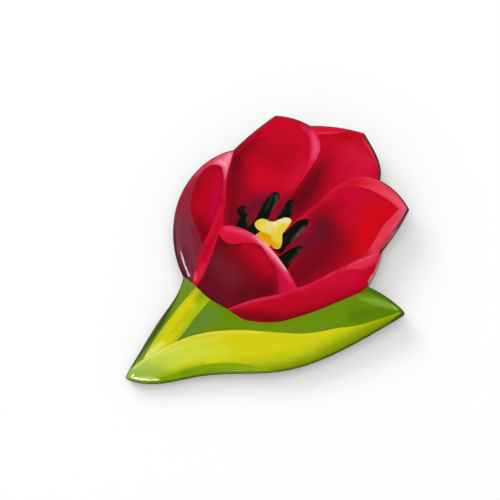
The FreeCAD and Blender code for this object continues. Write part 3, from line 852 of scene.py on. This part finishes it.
area(
    "left_petal",
    joined(left_petal_right, strip_right, [(-17, -12), (-45, -12), (-45, 45), (-8, 45)]), "mauve",
    (outline, left_petal_right), on=("back_petal", "top_petal"), strokes=[
        ("rose_mauve", 0.95, 4, (-14.6, 20.6, 2), (-18.6, 15.6, 3), (-20.8, 11.4, 3), (-21, 9, 1)),
        ("coral", 0.85, 2.4, (-7, 24.6, 1.6), (-10.4, 23.8, 1.6), (-13.6, 21.8, 1.4),
         (-16.8, 19, 0.8), (-19, 16, 0.3)),
        ("pink", 0.8, 1.6, (-7.2, 24.2, 1), (-11, 22.6, 1), (-15, 20, 0.6), (-16.8, 18, 0.2)),
        # Painted sheen: the lacquer's soft reflection down the petal's outer edge, in grey rose. The
        # grey in the mauve base is partly this painted sheen too.
        ("dusky_rose", 0.55, 1.6, (-21, 7.4, 0.5), (-21.4, 3, 0.8), (-20.8, -1, 0.8),
         (-19.2, -4.4, 0.8), (-17.6, -6.8, 0.4)),
        ("rose_mauve", 0.7, 2, (-18.4, 14, 0.6), (-19, 10.6, 1), (-18.6, 7.4, 0.5)),
        # Painted highlight: the bright lower end of the lacquer's glint along the petal's edge
        ("pale_pink", 0.45, 0.6, (-18.6, -4.8, 0.2), (-17.4, -6.4, 0.4)),
        ("wine", 0.7, 2.2, (-17.4, 5, 0.8), (-16.0, 1.6, 1), (-16.2, -1.4, 0.4)),
        ("violet", 0.7, 3, (-19.6, 0, 0.8), (-19.4, -3, 1.8), (-18.2, -6.4, 2.4)),
        ("plum", 0.8, 0.7, (-22.2, 6, 0.4), (-21.9, 0, 0.6), (-20.6, -4.4, 0.8), (-19.2, -6.8, 0.8)),
        ("rose", 0.9, 0.9, (-9.2, 17.4, 1.2), (-9.8, 11, 1.6))])
area(
    "left_inner", joined(left_inner_top, left_inner_right, stretch(strip_left, (-11.6, 9.2),
        (-15.0, 1.3)), left_inner_left[::-1]), "deep_red", (left_inner_left, left_inner_right),
    on=("left_petal",), strokes=[
        ("vein_red", 0.6, 2.5, (-15.2, 18.4, 1), (-17, 14.6, 1)),
        ("crimson", 0.6, 4, (-13.4, 17, 2), (-15.4, 10, 2)),
        ("magenta", 0.85, 3, (-11.2, 18, 1), (-11.4, 14, 2.2), (-13, 8, 1.6)),
        ("maroon", 0.95, 4.5, (-16, 6.4, 1.4), (-14.6, 4, 2.4), (-15, 1.6, 2.4))])
area(
    "left_pink", joined(left_inner_top, curve((-9.8, 16.6), (-9.0, 18.4), (-8.3, 21.2), (-7.3, 24.6)),
        curve((-7.5, 24.6), (-10.5, 23.4), (-15, 20.4))), "pink", (left_inner_top, outline),
    on=("left_petal",), strokes=[
        ("coral", 0.9, 1.4, (-8.6, 24, 0.3), (-10.8, 23, 1.2), (-13.4, 21.5, 1.6),
         (-15.2, 19.8, 1.2)),
        ("rose", 0.6, 1.5, (-14.8, 20, 0.8), (-13, 20.6, 0.4)),
        ("pale_pink", 0.95, 1.6, (-11.4, 21.2, 0.6), (-9.6, 21, 1.6), (-8.6, 22.6, 1.4)),
        ("cream", 0.4, 0.6, (-10.8, 21.4, 0.2), (-9.3, 20.4, 0.4), (-9.4, 18.4, 0.3)),
        ("rose", 0.5, 1.5, (-9.4, 17, 0.8), (-9.2, 18.8, 0.4))])
area(
    "strip", joined(strip_left, strip_right[::-1], curve((-10.2, 5.9), (-9.8, 9.6), (-9.5, 14.5))),
    "crimson", (strip_left, strip_right), on=("left_petal", "left_inner", "front_petal", "front_rim"),
    strokes=[
        ("rose", 0.8, 1, (-10.4, 10.5, 0.6), (-12.8, 4.5, 0.5), (-14.4, 1.6, 0.4)),
        ("rose_mauve", 0.7, 1, (-14.6, 1.6, 0.5), (-15.9, -2, 0.6), (-16.9, -6, 0.5)),
        ("rose", 0.8, 1, (-10.6, 6, 0.5), (-12.6, 0, 0.5), (-15.2, -6.2, 0.6)),
        ("deep_red", 0.6, 1, (-13, 2.6, 0.6), (-14.6, -1.6, 0.8)),
        ("coral", 0.7, 1.6, (-15, -3.4, 0.6), (-16.2, -6.4, 1)),
        # Painted highlight: the pale glint at the strip's lower end
        ("salmon", 0.85, 0.9, (-16.8, -5.2, 0.4), (-16.9, -7.2, 0.8))])
area(
    "bottom_petal", joined(bottom_upper, [(45, 0), (45, -14), (26, -12)], stretch(flower_bottom,
        (24.9, -9.1), (-9.4, -14.4))), "crimson", (bottom_upper, flower_bottom),
    on=("back_petal", "right_petal", "right_rim", "front_petal", "front_rim"), strokes=[
        ("magenta", 0.7, 5, (14, -9, 2), (22, -7.2, 2)),
        ("rose", 0.5, 3, (10, -10.2, 1.4), (17, -8, 1.4), (22, -6.2, 1)),
        ("deep_red", 0.45, 5, (0, -14, 4), (10, -12.5, 4), (18, -9.5, 3)),
        ("wine", 0.7, 2.4, (-8, -14.8, 0.8), (-3, -15, 1), (2, -15.2, 0.6)),
        ("maroon", 0.95, 2.8, (-7.6, -15.3, 0.8), (-4, -16.2, 2.2), (3, -16.9, 2.2)),
        ("vein_red", 0.85, 2.4, (2, -17.2, 2), (12, -14.6, 1.6), (20, -11.4, 1.2), (24.4, -9.4, 0.6)),
        ("maroon", 0.85, 1, (3, -17.4, 0.5), (12, -14.9, 0.7), (20, -11.7, 0.6), (24, -9.8, 0.4)),
        ("bright_red", 0.6, 2.4, (25.6, -6.6, 1), (27.2, -3.6, 0.6))])
area(
    "bottom_roll", joined(stretch(bottom_upper, (14.0, -6.8), (28.6, -0.3)), bottom_roll_low[::-1]),
    "rose", (bottom_roll_low, bottom_upper), on=("bottom_petal",), strokes=[
        ("crimson", 0.7, 3, (14, -7.2, 1), (18, -5.4, 1)),
        ("coral", 0.8, 1.8, (20, -5, 0.6), (23, -4, 1.2), (26.6, -2.4, 1.4)),
        ("salmon", 0.8, 0.8, (20.4, -4.0, 0.3), (24, -2.5, 0.5), (27.2, -1.3, 0.4))])

# A pale line along the upper edge of the lowest petal, which runs on over its rolled rim
low_rim_strokes = [
    brush("pink", 0.5, 0.9, (-8.6, -14.2, 0.5), (-3, -12.4, 0.7), (3.5, -11.1, 0.6), (10, -9, 0.5),
          (17, -5.6, 0.3))]
every_third = slice(None, None, 3)  # of the outline's points, which lie closer than a stroke needs


def edge_brush(paint, strength, soft, width, first, last, fade=0.0):
    """A stroke that follows the board's edge clockwise between two places.

    With a fade, it thins out over that share of its length at either end."""
    start, end = nearest(outline, first), nearest(outline, last)
    end += len(outline) if end <= start else 0
    path = outline[np.arange(start, end + 1) % len(outline)][every_third]
    widths = np.full(len(path), width)
    if fade:
        widths = np.interp(np.linspace(0, 1, len(path)), [0, fade, 1 - fade, 1],
                           [-soft, width, width, -soft])
    return paint_value(paint), strength, soft, np.column_stack([path, widths])


# Paint of the sides that shows along the edge of the front, between the outline's corners
leaf_tip = (-34.4, -30.9)
stem_notch = (-19.9, -6.6)
left_notch = (-7.6, 24.2)
top_notch = (11.0, 29.7)
back_tip = (23.9, 27.7)
back_notch = (27.5, 16.4)
right_tip = (34.5, 9.4)
leaf_notch = (24.6, -9.0)
leaf_end = (33.7, -15.6)
edge_strokes = [
    edge_brush("plum", 0.9, 0.3, 0.6, stem_notch, left_notch),
    edge_brush("edge_black", 0.95, 0.3, 0.55, left_notch, top_notch),
    edge_brush("edge_black", 0.9, 0.3, 0.5, top_notch, back_tip),
    edge_brush("edge_black", 0.95, 0.25, 0.75, back_tip, (27.3, 20.4)),
    edge_brush("plum", 0.9, 0.25, 0.35, (27.3, 20.4), back_notch),
    edge_brush("edge_black", 0.9, 0.3, 0.5, back_notch, right_tip),
    edge_brush("edge_black", 0.8, 0.25, 0.4, right_tip, (32.0, 5.0)),
    edge_brush("side_brown", 0.8, 0.3, 0.8, (33.6, 7.8), (28.2, -0.6), fade=0.3),
    # Painted reflection: the pale stretches are the white floor mirrored in the glossy side wall
    edge_brush("side_floor_reflection", 0.8, 0.2, 0.35, (32.4, 5.8), (28.2, -0.2), fade=0.35),
    edge_brush("plum", 0.8, 0.3, 0.5, (28.6, 0.6), (27.6, -2.2), fade=0.3),
    edge_brush("side_floor_reflection", 0.85, 0.25, 0.5, (27.8, -1.6), (24.4, -9.3), fade=0.3),
    edge_brush("side_floor_reflection", 0.8, 0.3, 0.9, (26.2, -5.8), (24.4, -9.3), fade=0.2),
    edge_brush("edge_green", 0.75, 0.35, 0.5, leaf_notch, leaf_end),
    edge_brush("edge_green", 0.6, 0.6, 0.4, leaf_end, leaf_tip),
    edge_brush("edge_black", 0.7, 0.3, 0.5, leaf_tip, stem_notch)]

# The skin's mesh: points along every painted edge and fine stroke, rings near the outline, where
# the lacquer curves, and an even lattice inside
ring_insets = (0.015, 0.05, 0.11, 0.2, 0.32, 0.48, 0.68, 0.95, 1.3, 1.75, 2.25)
lattice_step = 0.42
lattice_gap = 0.25          # from the innermost ring to the lattice
longest_span = 1.2          # a longer one of an area's edge is beyond the board or under other paint
fine_stroke = 0.6           # strokes with a sharper edge than this get mesh points of their own
fine_stroke_gap = 0.12      # from the outline
drawn_within = 36           # half the width of the square that holds the board
cell = 0.16                 # lattice and rings leave out what lies nearer than this to a drawn line
swallowed = 0.97            # of an inset: a point nearer to the outline than that is lost in a corner
merge_distance = 1e-5
stray_gap = 0.02


def inward_of(line):
    """Unit vectors at the points of a closed clockwise line, which point inside it."""
    ahead = np.roll(line, -1, 0) - np.roll(line, 1, 0)
    return np.stack([ahead[:, 1], -ahead[:, 0]], 1) / np.hypot(*ahead.T)[:, None]


def lattice(step, margin):
    """Evenly spaced points inside the outline, at least margin from it."""
    low, high = outline.min(0), outline.max(0)
    rows = []
    for number, y in enumerate(np.arange(low[1], high[1], step * math.sqrt(3) / 2)):
        row = np.arange(low[0] + (number % 2) * step / 2, high[0], step)
        rows.append(np.stack([row, np.full(len(row), y)], 1))
    points = np.vstack(rows)
    points = points[inside(points, outline)]
    return points[distance_to(points, outline, closed=True)[0] > margin]


def inset_ring(inset):
    """Points at one distance in from the outline, without those that the corners swallow."""
    ring = outline + inward_of(outline) * inset
    gap = distance_to(ring, outline, closed=True)[0]
    return ring[(gap > inset * swallowed) & inside(ring, outline)]


def triangles(points, edges, border):
    """Triangles inside the border that keep the given edges, and the points with any crossings."""
    found = delaunay_2d_cdt([Vector(point) for point in points], edges, [], 1, merge_distance)
    places = np.array([vertex[:] for vertex in found[0]])
    faces = np.array(found[2])
    middles = places[faces].mean(1)
    stray = ~inside(middles, border) & (distance_to(middles, border, closed=True)[0] > stray_gap)
    return places, faces[~stray]


def closed_edges(count, start=0):
    """Edges that join the points from start on into a closed line."""
    return [(start + i, start + (i + 1) % count) for i in range(count)]


points = [outline]
edges = closed_edges(len(outline))
total = len(outline)
for item in areas:
    line = item["edge"]
    spans = np.hypot(*(np.roll(line, -1, 0) - line).T)
    edges += [edge for edge, span in zip(closed_edges(len(line), total), spans) if span < longest_span]
    points.append(line)
    total += len(line)
for item in areas:
    for colour, strength, soft, path in item["strokes"]:
        if soft <= fine_stroke:
            line = along(path[:, :2], curve_step)
            ahead = np.gradient(line, axis=0)
            across = np.stack([-ahead[:, 1], ahead[:, 0]], 1) / np.hypot(*ahead.T)[:, None]
            reach = (path[:, 2].max() + soft) / 2
            lines = np.vstack([line - across * reach, line, line + across * reach])
            lines = lines[inside(lines, outline)]
            points.append(lines[distance_to(lines, outline, closed=True)[0] > fine_stroke_gap])
drawn = np.vstack(points[1:])
drawn = drawn[(abs(drawn) < drawn_within).all(1)]
cells = set(map(tuple, np.round(drawn / cell).astype(int)))
fill = np.vstack([lattice(lattice_step, ring_insets[-1] + lattice_gap)]
                 + [inset_ring(inset) for inset in ring_insets])
near = np.array([any((cx + dx, cy + dy) in cells for dx in (-1, 0, 1) for dy in (-1, 0, 1))
                 for cx, cy in np.round(fill / cell).astype(int)])
flat, faces = triangles(np.vstack(points + [fill[~near]]), edges, outline)
used, faces = np.unique(faces, return_inverse=True)
faces = faces.reshape(-1, 3)
flat = flat[used]
middles = flat[faces].mean(1)

# Heights of the front: the bead at the edge, then a faint dome up to the flat middle
profile_points = 400
steepest = 0.9999


def lacquer_drop(gap):
    """How far the lacquer's surface lies under its flat top, at a distance in from the side."""
    step = np.linspace(0, 1, profile_points) ** 2 * coat_dome
    middle = (step[1:] + step[:-1]) / 2
    tilt = (1 - coat_dome_share) * np.clip(1 - middle / coat_bead, 0, 1)
    tilt += coat_dome_share * (1 - middle / coat_dome)
    fall = np.diff(step) * tilt / np.sqrt(1 - np.minimum(tilt, steepest) ** 2)
    total = np.concatenate([[0], np.cumsum(fall)])
    return total[-1] - np.interp(gap, step, total)


edge_gap = distance_to(flat, outline, closed=True)[0]
heights = coat_top - lacquer_drop(edge_gap)
bead_foot = heights.min()

# Paint of the front, face by face: each area covers what it is on, and its strokes stay inside it
face_area = np.zeros(len(faces), int)
names = [item["name"] for item in areas]
for number, item in enumerate(areas):
    covered = inside(middles, item["edge"])
    if item["on"]:
        covered &= np.isin(face_area, [names.index(name) for name in item["on"]])
    face_area[covered] = number

finishes = ["petal", "leaf", "stamen", "pistil", "side"]
colours = np.zeros((len(faces), 3, 3))
fibres = np.zeros((len(faces), 3, 3))
face_finish = np.zeros(len(faces), int)
for number, item in enumerate(areas):
    chosen = face_area == number
    if not chosen.any():
        continue
    vertices, order = np.unique(faces[chosen], return_inverse=True)
    order = order.reshape(-1, 3)
    places = flat[vertices]
    painted = brushed(places, np.tile(item["base"], (len(places), 1)), item["strokes"])
    painted = brushed(places, painted, edge_strokes)
    if item["name"] in ("bottom_petal", "bottom_roll"):
        painted = brushed(places, painted, low_rim_strokes)
    colours[chosen] = painted[order]
    first, index, share = distance_to(places, item["fibres"][0])
    second = distance_to(places, item["fibres"][1])[0]
    across = first / (first + second + no_length)
    forward = (index + share) * curve_step
    fibres[chosen] = np.stack([across, forward, np.full(len(places), number)], 1)[order]
    face_finish[chosen] = finishes.index(item["finish"])

# Close the skin: the side wall, the narrow foot on the wood and the hidden inner face, which lies
# on the board's quarter-round edge
wall_levels = (bead_foot - 0.7, bead_foot - 1.6, coat_foot + 0.6, coat_foot + 0.12, coat_foot)
inner_insets = (0.12, 0.4, 0.8, 1.2, 1.5)
inner_round = 1.5
inner_lattice_step = 2.0
inner_lattice_margin = 2.4


def quarter_round(gap, top, rounding):
    """Height of a quarter-round edge at a distance in from the side."""
    over = np.clip(1 - gap / rounding, 0, 1)
    return top - rounding + rounding * np.sqrt(1 - over ** 2)


boundary = {}
for a, b, c in faces.tolist():
    for start, end in ((a, b), (b, c), (c, a)):
        if (end, start) in boundary:
            del boundary[(end, start)]
        else:
            boundary[(start, end)] = True
following = {start: end for start, end in boundary}
rim = [next(iter(following))]
while following[rim[-1]] != rim[0]:
    rim.append(following[rim[-1]])
rim_points = flat[rim]

inner = outline + inward_of(outline) * coat_side
inner = inner[distance_to(inner, outline, closed=True)[0] > coat_side * swallowed]
inner_fill = [inset_ring(coat_side + inset)[every_third] for inset in inner_insets]
inner_fill.append(lattice(inner_lattice_step, inner_lattice_margin))
inner_flat, inner_faces = triangles(np.vstack([inner] + inner_fill), closed_edges(len(inner)), inner)
inner_gap = distance_to(inner_flat, inner, closed=True)[0]
inner_heights = quarter_round(inner_gap, board_top, inner_round)

foot_edges = closed_edges(len(rim)) + closed_edges(len(inner), len(rim))
foot_flat, foot_faces = triangles(np.vstack([rim_points, inner]), foot_edges, rim_points)
foot_faces = foot_faces[~inside(foot_flat[foot_faces].mean(1), inner)]

vertices = [np.column_stack([flat, heights])]
skin_faces = faces.tolist()
top_count = len(skin_faces)
total = len(flat)
above = list(rim)
for level in wall_levels:
    vertices.append(np.column_stack([rim_points, np.full(len(rim), level)]))
    below = list(range(total, total + len(rim)))
    total += len(rim)
    skin_faces += [(above[j], above[i], below[i], below[j]) for i, j in closed_edges(len(rim))]
    above = below
wall_count = len(skin_faces)
inner_start = total
vertices.append(np.column_stack([inner_flat, inner_heights]))
total += len(inner_flat)
skin_faces += [(c + inner_start, b + inner_start, a + inner_start) for a, b, c in inner_faces.tolist()]
inner_foot_start = total
vertices.append(np.column_stack([inner, np.full(len(inner), coat_foot)]))
skin_faces += [(inner_foot_start + j, inner_foot_start + i, inner_start + i, inner_start + j)
               for i, j in closed_edges(len(inner))]
foot_map = list(above) + list(range(inner_foot_start, inner_foot_start + len(inner)))
skin_faces += [tuple(foot_map[i] for i in reversed(face)) for face in foot_faces.tolist()]

all_places = np.vstack(vertices)
skin_mesh = bpy.data.meshes.new("painted_front")
skin_mesh.from_pydata([Vector(place) * mm for place in all_places], [], skin_faces)
skin_mesh.validate()
skin_mesh.update()


def to_linear(values):
    """Colours as light adds them up, from colours as the eye sees them."""
    return np.where(values <= 0.04045, values / 12.92, ((values + 0.055) / 1.055) ** 2.4)


# The side wall is plum beside the flower and green below the leaf, with pale and dark stretches
flower_side_above = -7.2
side_soft = 0.6
side_width = 1.2
loop_colours = np.ones((len(skin_mesh.loops), 4), np.float32)
loop_fibres = np.zeros((len(skin_mesh.loops), 3), np.float32)
loop_colours[:top_count * 3, :3] = to_linear(colours.reshape(-1, 3))
loop_fibres[:top_count * 3] = fibres.reshape(-1, 3)
loop_vertex = np.zeros(len(skin_mesh.loops), int)
skin_mesh.loops.foreach_get("vertex_index", loop_vertex)
rest_places = all_places[loop_vertex[top_count * 3:]]
flower_side = rest_places[:, 1] > flower_side_above
rest_colours = np.where(flower_side[:, None], paint_value("plum"), paint_value("side_green"))
rest_colours = brushed(rest_places[:, :2], rest_colours, [
    # Painted reflection: the pale and grey stretches are the white floor mirrored in the glossy wall
    edge_brush("side_floor_reflection", 0.95, side_soft, side_width, (27.9, -1.4), (24.9, -8.8)),
    edge_brush("side_brown", 0.9, side_soft, side_width, (33.5, 7.5), (28.2, -0.3)),
    edge_brush("edge_black", 0.9, side_soft, side_width, back_tip, (34.4, 9.6)),
    edge_brush("side_grey_reflection", 0.6, side_soft, side_width, (32.0, -16.8), (-30, -31.8))])
loop_colours[top_count * 3:, :3] = to_linear(rest_colours)
loop_fibres[top_count * 3:] = rest_places

wall_gloss = 0.08           # the lacquer's outermost edge is rubbed dull
dull_width = 0.1
gloss_width = 0.35          # over which it turns glossy
gloss = np.full(len(all_places), wall_gloss)
gloss[:len(flat)] += (1 - wall_gloss) * np.clip((edge_gap - dull_width) / gloss_width, 0, 1)
for layer, kind, domain, field, values in (
        ("gloss", "FLOAT", "POINT", "value", gloss.astype(np.float32)),
        ("paint", "FLOAT_COLOR", "CORNER", "color", loop_colours),
        ("fibre", "FLOAT_VECTOR", "CORNER", "vector", loop_fibres)):
    skin_mesh.attributes.new(layer, kind, domain).data.foreach_set(field, values.ravel())
finish_of_face = np.full(len(skin_mesh.polygons), finishes.index("side"), np.int32)
finish_of_face[:top_count] = face_finish
skin_mesh.polygons.foreach_set("material_index", finish_of_face)
smooth = np.ones(len(skin_mesh.polygons), bool)
smooth[wall_count + len(inner_faces) + len(inner):] = False
skin_mesh.polygons.foreach_set("use_smooth", smooth)

painted_front = bpy.data.objects.new("painted_front", skin_mesh)
bpy.context.scene.collection.objects.link(painted_front)
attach(painted_front, "brooch")
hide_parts("lacquer_coat")

# Brush marks: fine streaks that run along the petal or leaf, and a faint slow change of depth
streak_stretch = 0.16       # how fast the streaks change along a stroke, beside one across it
area_step = 7.3             # puts each area's streaks in a place of its own
streak_band = (0.3, 0.7)
group, given, put_out = node_group("brush_marks", ("Color", "Height"), ("Paint",),
                                   ("Streaks", "Depth"), vectors=("Fibre",))
scaled = add_node(group, "ShaderNodeCombineXYZ", i0=given.outputs["Streaks"], i1=streak_stretch,
                  i2=area_step)
stretched = multiply(group, given.outputs["Fibre"], scaled.outputs[0], "ShaderNodeVectorMath")
streak = noise(group, stretched, 1.0, 4.0, Roughness=0.6)
amount = add_node(group, "ShaderNodeMath", {"operation": "MULTIPLY_ADD"},
                  i0=spread(group, streak, streak_band, (-1.0, 1.0)), i1=given.outputs["Depth"], i2=1.0)
tinted = add_node(group, "ShaderNodeVectorMath", {"operation": "SCALE"},
                  i0=given.outputs["Paint"], Scale=amount.outputs[0])
brush_marks = put(group, put_out, Color=tinted.outputs[0], Height=streak)

painted_finishes = {
    "petal": {"streaks": 30.0, "depth": 0.055, "relief": 0.04},
    "leaf": {"streaks": 26.0, "depth": 0.05, "relief": 0.04},
    "stamen": {"streaks": 14.0, "depth": 0.25, "relief": 0.08},
    "pistil": {"streaks": 12.0, "depth": 0.06, "relief": 0.05},
    "side": {"streaks": 0.6, "depth": 0.2, "relief": 0.05},
}
for finish, look in painted_finishes.items():
    material, tree, output = new_material(f"painted_{finish}")
    paint, fibre, gloss_of_edge = [add_node(tree, "ShaderNodeAttribute", {"attribute_name": layer})
                                   for layer in ("paint", "fibre", "gloss")]
    marks = add_node(tree, "ShaderNodeGroup", {"node_tree": brush_marks},
                     Paint=paint.outputs["Color"], Fibre=fibre.outputs["Vector"],
                     Streaks=look["streaks"], Depth=look["depth"])
    relief = add_node(tree, "ShaderNodeBump", Height=marks.outputs["Height"], Strength=look["relief"],
                      Distance=0.1 * mm)
    principled(tree, output, Base_Color=marks.outputs["Color"], Roughness=0.5,
               Normal=relief.outputs[0], Specular_IOR_Level=0.0,
               Coat_Weight=gloss_of_edge.outputs["Fac"], Coat_Roughness=0.05, Coat_IOR=1.5)
    skin_mesh.materials.append(material)

# The pin's bar is a strip of stamped steel with the hinge's two ears folded up from it. It is
# brushed along its length and nickel plated. Fine handling scratches dull the plating, and the
# edges are rubbed bright.
nickel = {"colour": (0.66, 0.63, 0.58, 1), "dull": (0.50, 0.46, 0.40, 1),
          "rubbed": (0.80, 0.78, 0.74, 1)}
along_bar = (0.04, 1.0, 1.0)
clouds_per_metre = 350.0
tarnish_band = (0.42, 0.68)
rough_band = (0.35, 0.65)
group, given, put_out = node_group("brushed_metal", ("Color", "Height", "Roughness"), ("Color", "Dull"),
                                   ("Scale", "Rough low", "Rough high"), vectors=("Brushing",))
place = add_node(group, "ShaderNodeTexCoord").outputs["Object"]
drawn_out = multiply(group, place, given.outputs["Brushing"], "ShaderNodeVectorMath")
lines = noise(group, drawn_out, given.outputs["Scale"], 3.0, Roughness=0.7)
clouds = noise(group, place, clouds_per_metre, 4.0)
tarnish = spread(group, clouds, tarnish_band)
rough = spread(group, mix_values(group, 0.5, lines, clouds), rough_band,
               (given.outputs["Rough low"], given.outputs["Rough high"]))
tone = mix_colours(group, tarnish, given.outputs["Color"], given.outputs["Dull"])
brushed_metal = put(group, put_out, Color=tone, Height=lines, Roughness=rough)


def metal_finish(name, metal, brushing, lines_per_metre, rough, relief_depth):
    """A bare or plated metal with brushing marks, light tarnish and rubbed edges."""
    material, tree, output = new_material(name)
    marks = add_node(tree, "ShaderNodeGroup", {"node_tree": brushed_metal}, Color=metal["colour"],
                     Dull=metal["dull"], Brushing=brushing, Scale=lines_per_metre,
                     Rough_low=rough[0], Rough_high=rough[1])
    worn = add_node(tree, "ShaderNodeGroup", {"node_tree": edge_wear}, Color=marks.outputs["Color"],
                    Worn=metal["rubbed"], Width=0.18 * mm, Amount=0.8)
    relief = add_node(tree, "ShaderNodeBump", Height=marks.outputs["Height"],
                      Strength=relief_depth, Distance=0.01 * mm)
    principled(tree, output, Base_Color=worn.outputs["Color"], Metallic=1.0,
               Roughness=marks.outputs["Roughness"], Normal=relief.outputs[0])
    return material


frame["nodes"]["pin_bar"].data.materials[0] = metal_finish(
    "nickel_bar", nickel, along_bar, lines_per_metre=9000.0, rough=(0.22, 0.42), relief_depth=0.25)

# The pin is drawn steel wire with one end bent to an eye and the other ground to a point. It is
# plated and then polished along its length.
polished = {"colour": (0.74, 0.72, 0.68, 1), "dull": (0.60, 0.57, 0.52, 1),
            "rubbed": (0.86, 0.85, 0.82, 1)}
frame["nodes"]["pin_stem"].data.materials[0] = metal_finish(
    "polished_wire", polished, along_bar, lines_per_metre=12000.0, rough=(0.08, 0.2), relief_depth=0.1)

# The hinge's rivet is a length of plain steel wire through the ears and the pin's eye. Its heads
# are set cold with a hammer, so it is greyer and duller than the plated pieces.
steel = {"colour": (0.48, 0.46, 0.44, 1), "dull": (0.33, 0.29, 0.26, 1),
         "rubbed": (0.66, 0.65, 0.62, 1)}
even = (1.0, 1.0, 1.0)
frame["nodes"]["hinge_rivet"].data.materials[0] = metal_finish(
    "set_rivet_steel", steel, even, lines_per_metre=3500.0, rough=(0.28, 0.5), relief_depth=0.5)

# The catch's housing is an open ring, rolled from nickel-plated steel strip and soldered by its
# foot to the bar. It is brushed round the ring.
round_ring = (1.0, 0.15, 0.15)
frame["nodes"]["catch_housing"].data.materials[0] = metal_finish(
    "nickel_ring", nickel, round_ring, lines_per_metre=7000.0, rough=(0.18, 0.36), relief_depth=0.2)

# The safety sleeve is turned steel, plated and polished. It turns inside the housing by its thumb
# tab, which closes the ring over the pin.
frame["nodes"]["catch_rotor"].data.materials[0] = metal_finish(
    "polished_sleeve", polished, round_ring, lines_per_metre=9000.0, rough=(0.12, 0.26),
    relief_depth=0.15)

# Two small brass wood screws hold the finished finding to the board. Their round heads are turned,
# and the brass carries fine marks, is browned a little in patches and is rubbed bright at its edges.
brass = {"colour": (0.78, 0.56, 0.24, 1), "dull": (0.46, 0.30, 0.12, 1),
         "rubbed": (0.90, 0.72, 0.38, 1)}
turned_brass = metal_finish("turned_brass", brass, even, lines_per_metre=6000.0, rough=(0.2, 0.4),
                            relief_depth=0.3)
for screw in ("bar_screw_left", "bar_screw_right"):
    frame["nodes"][screw].data.materials[0] = turned_brass
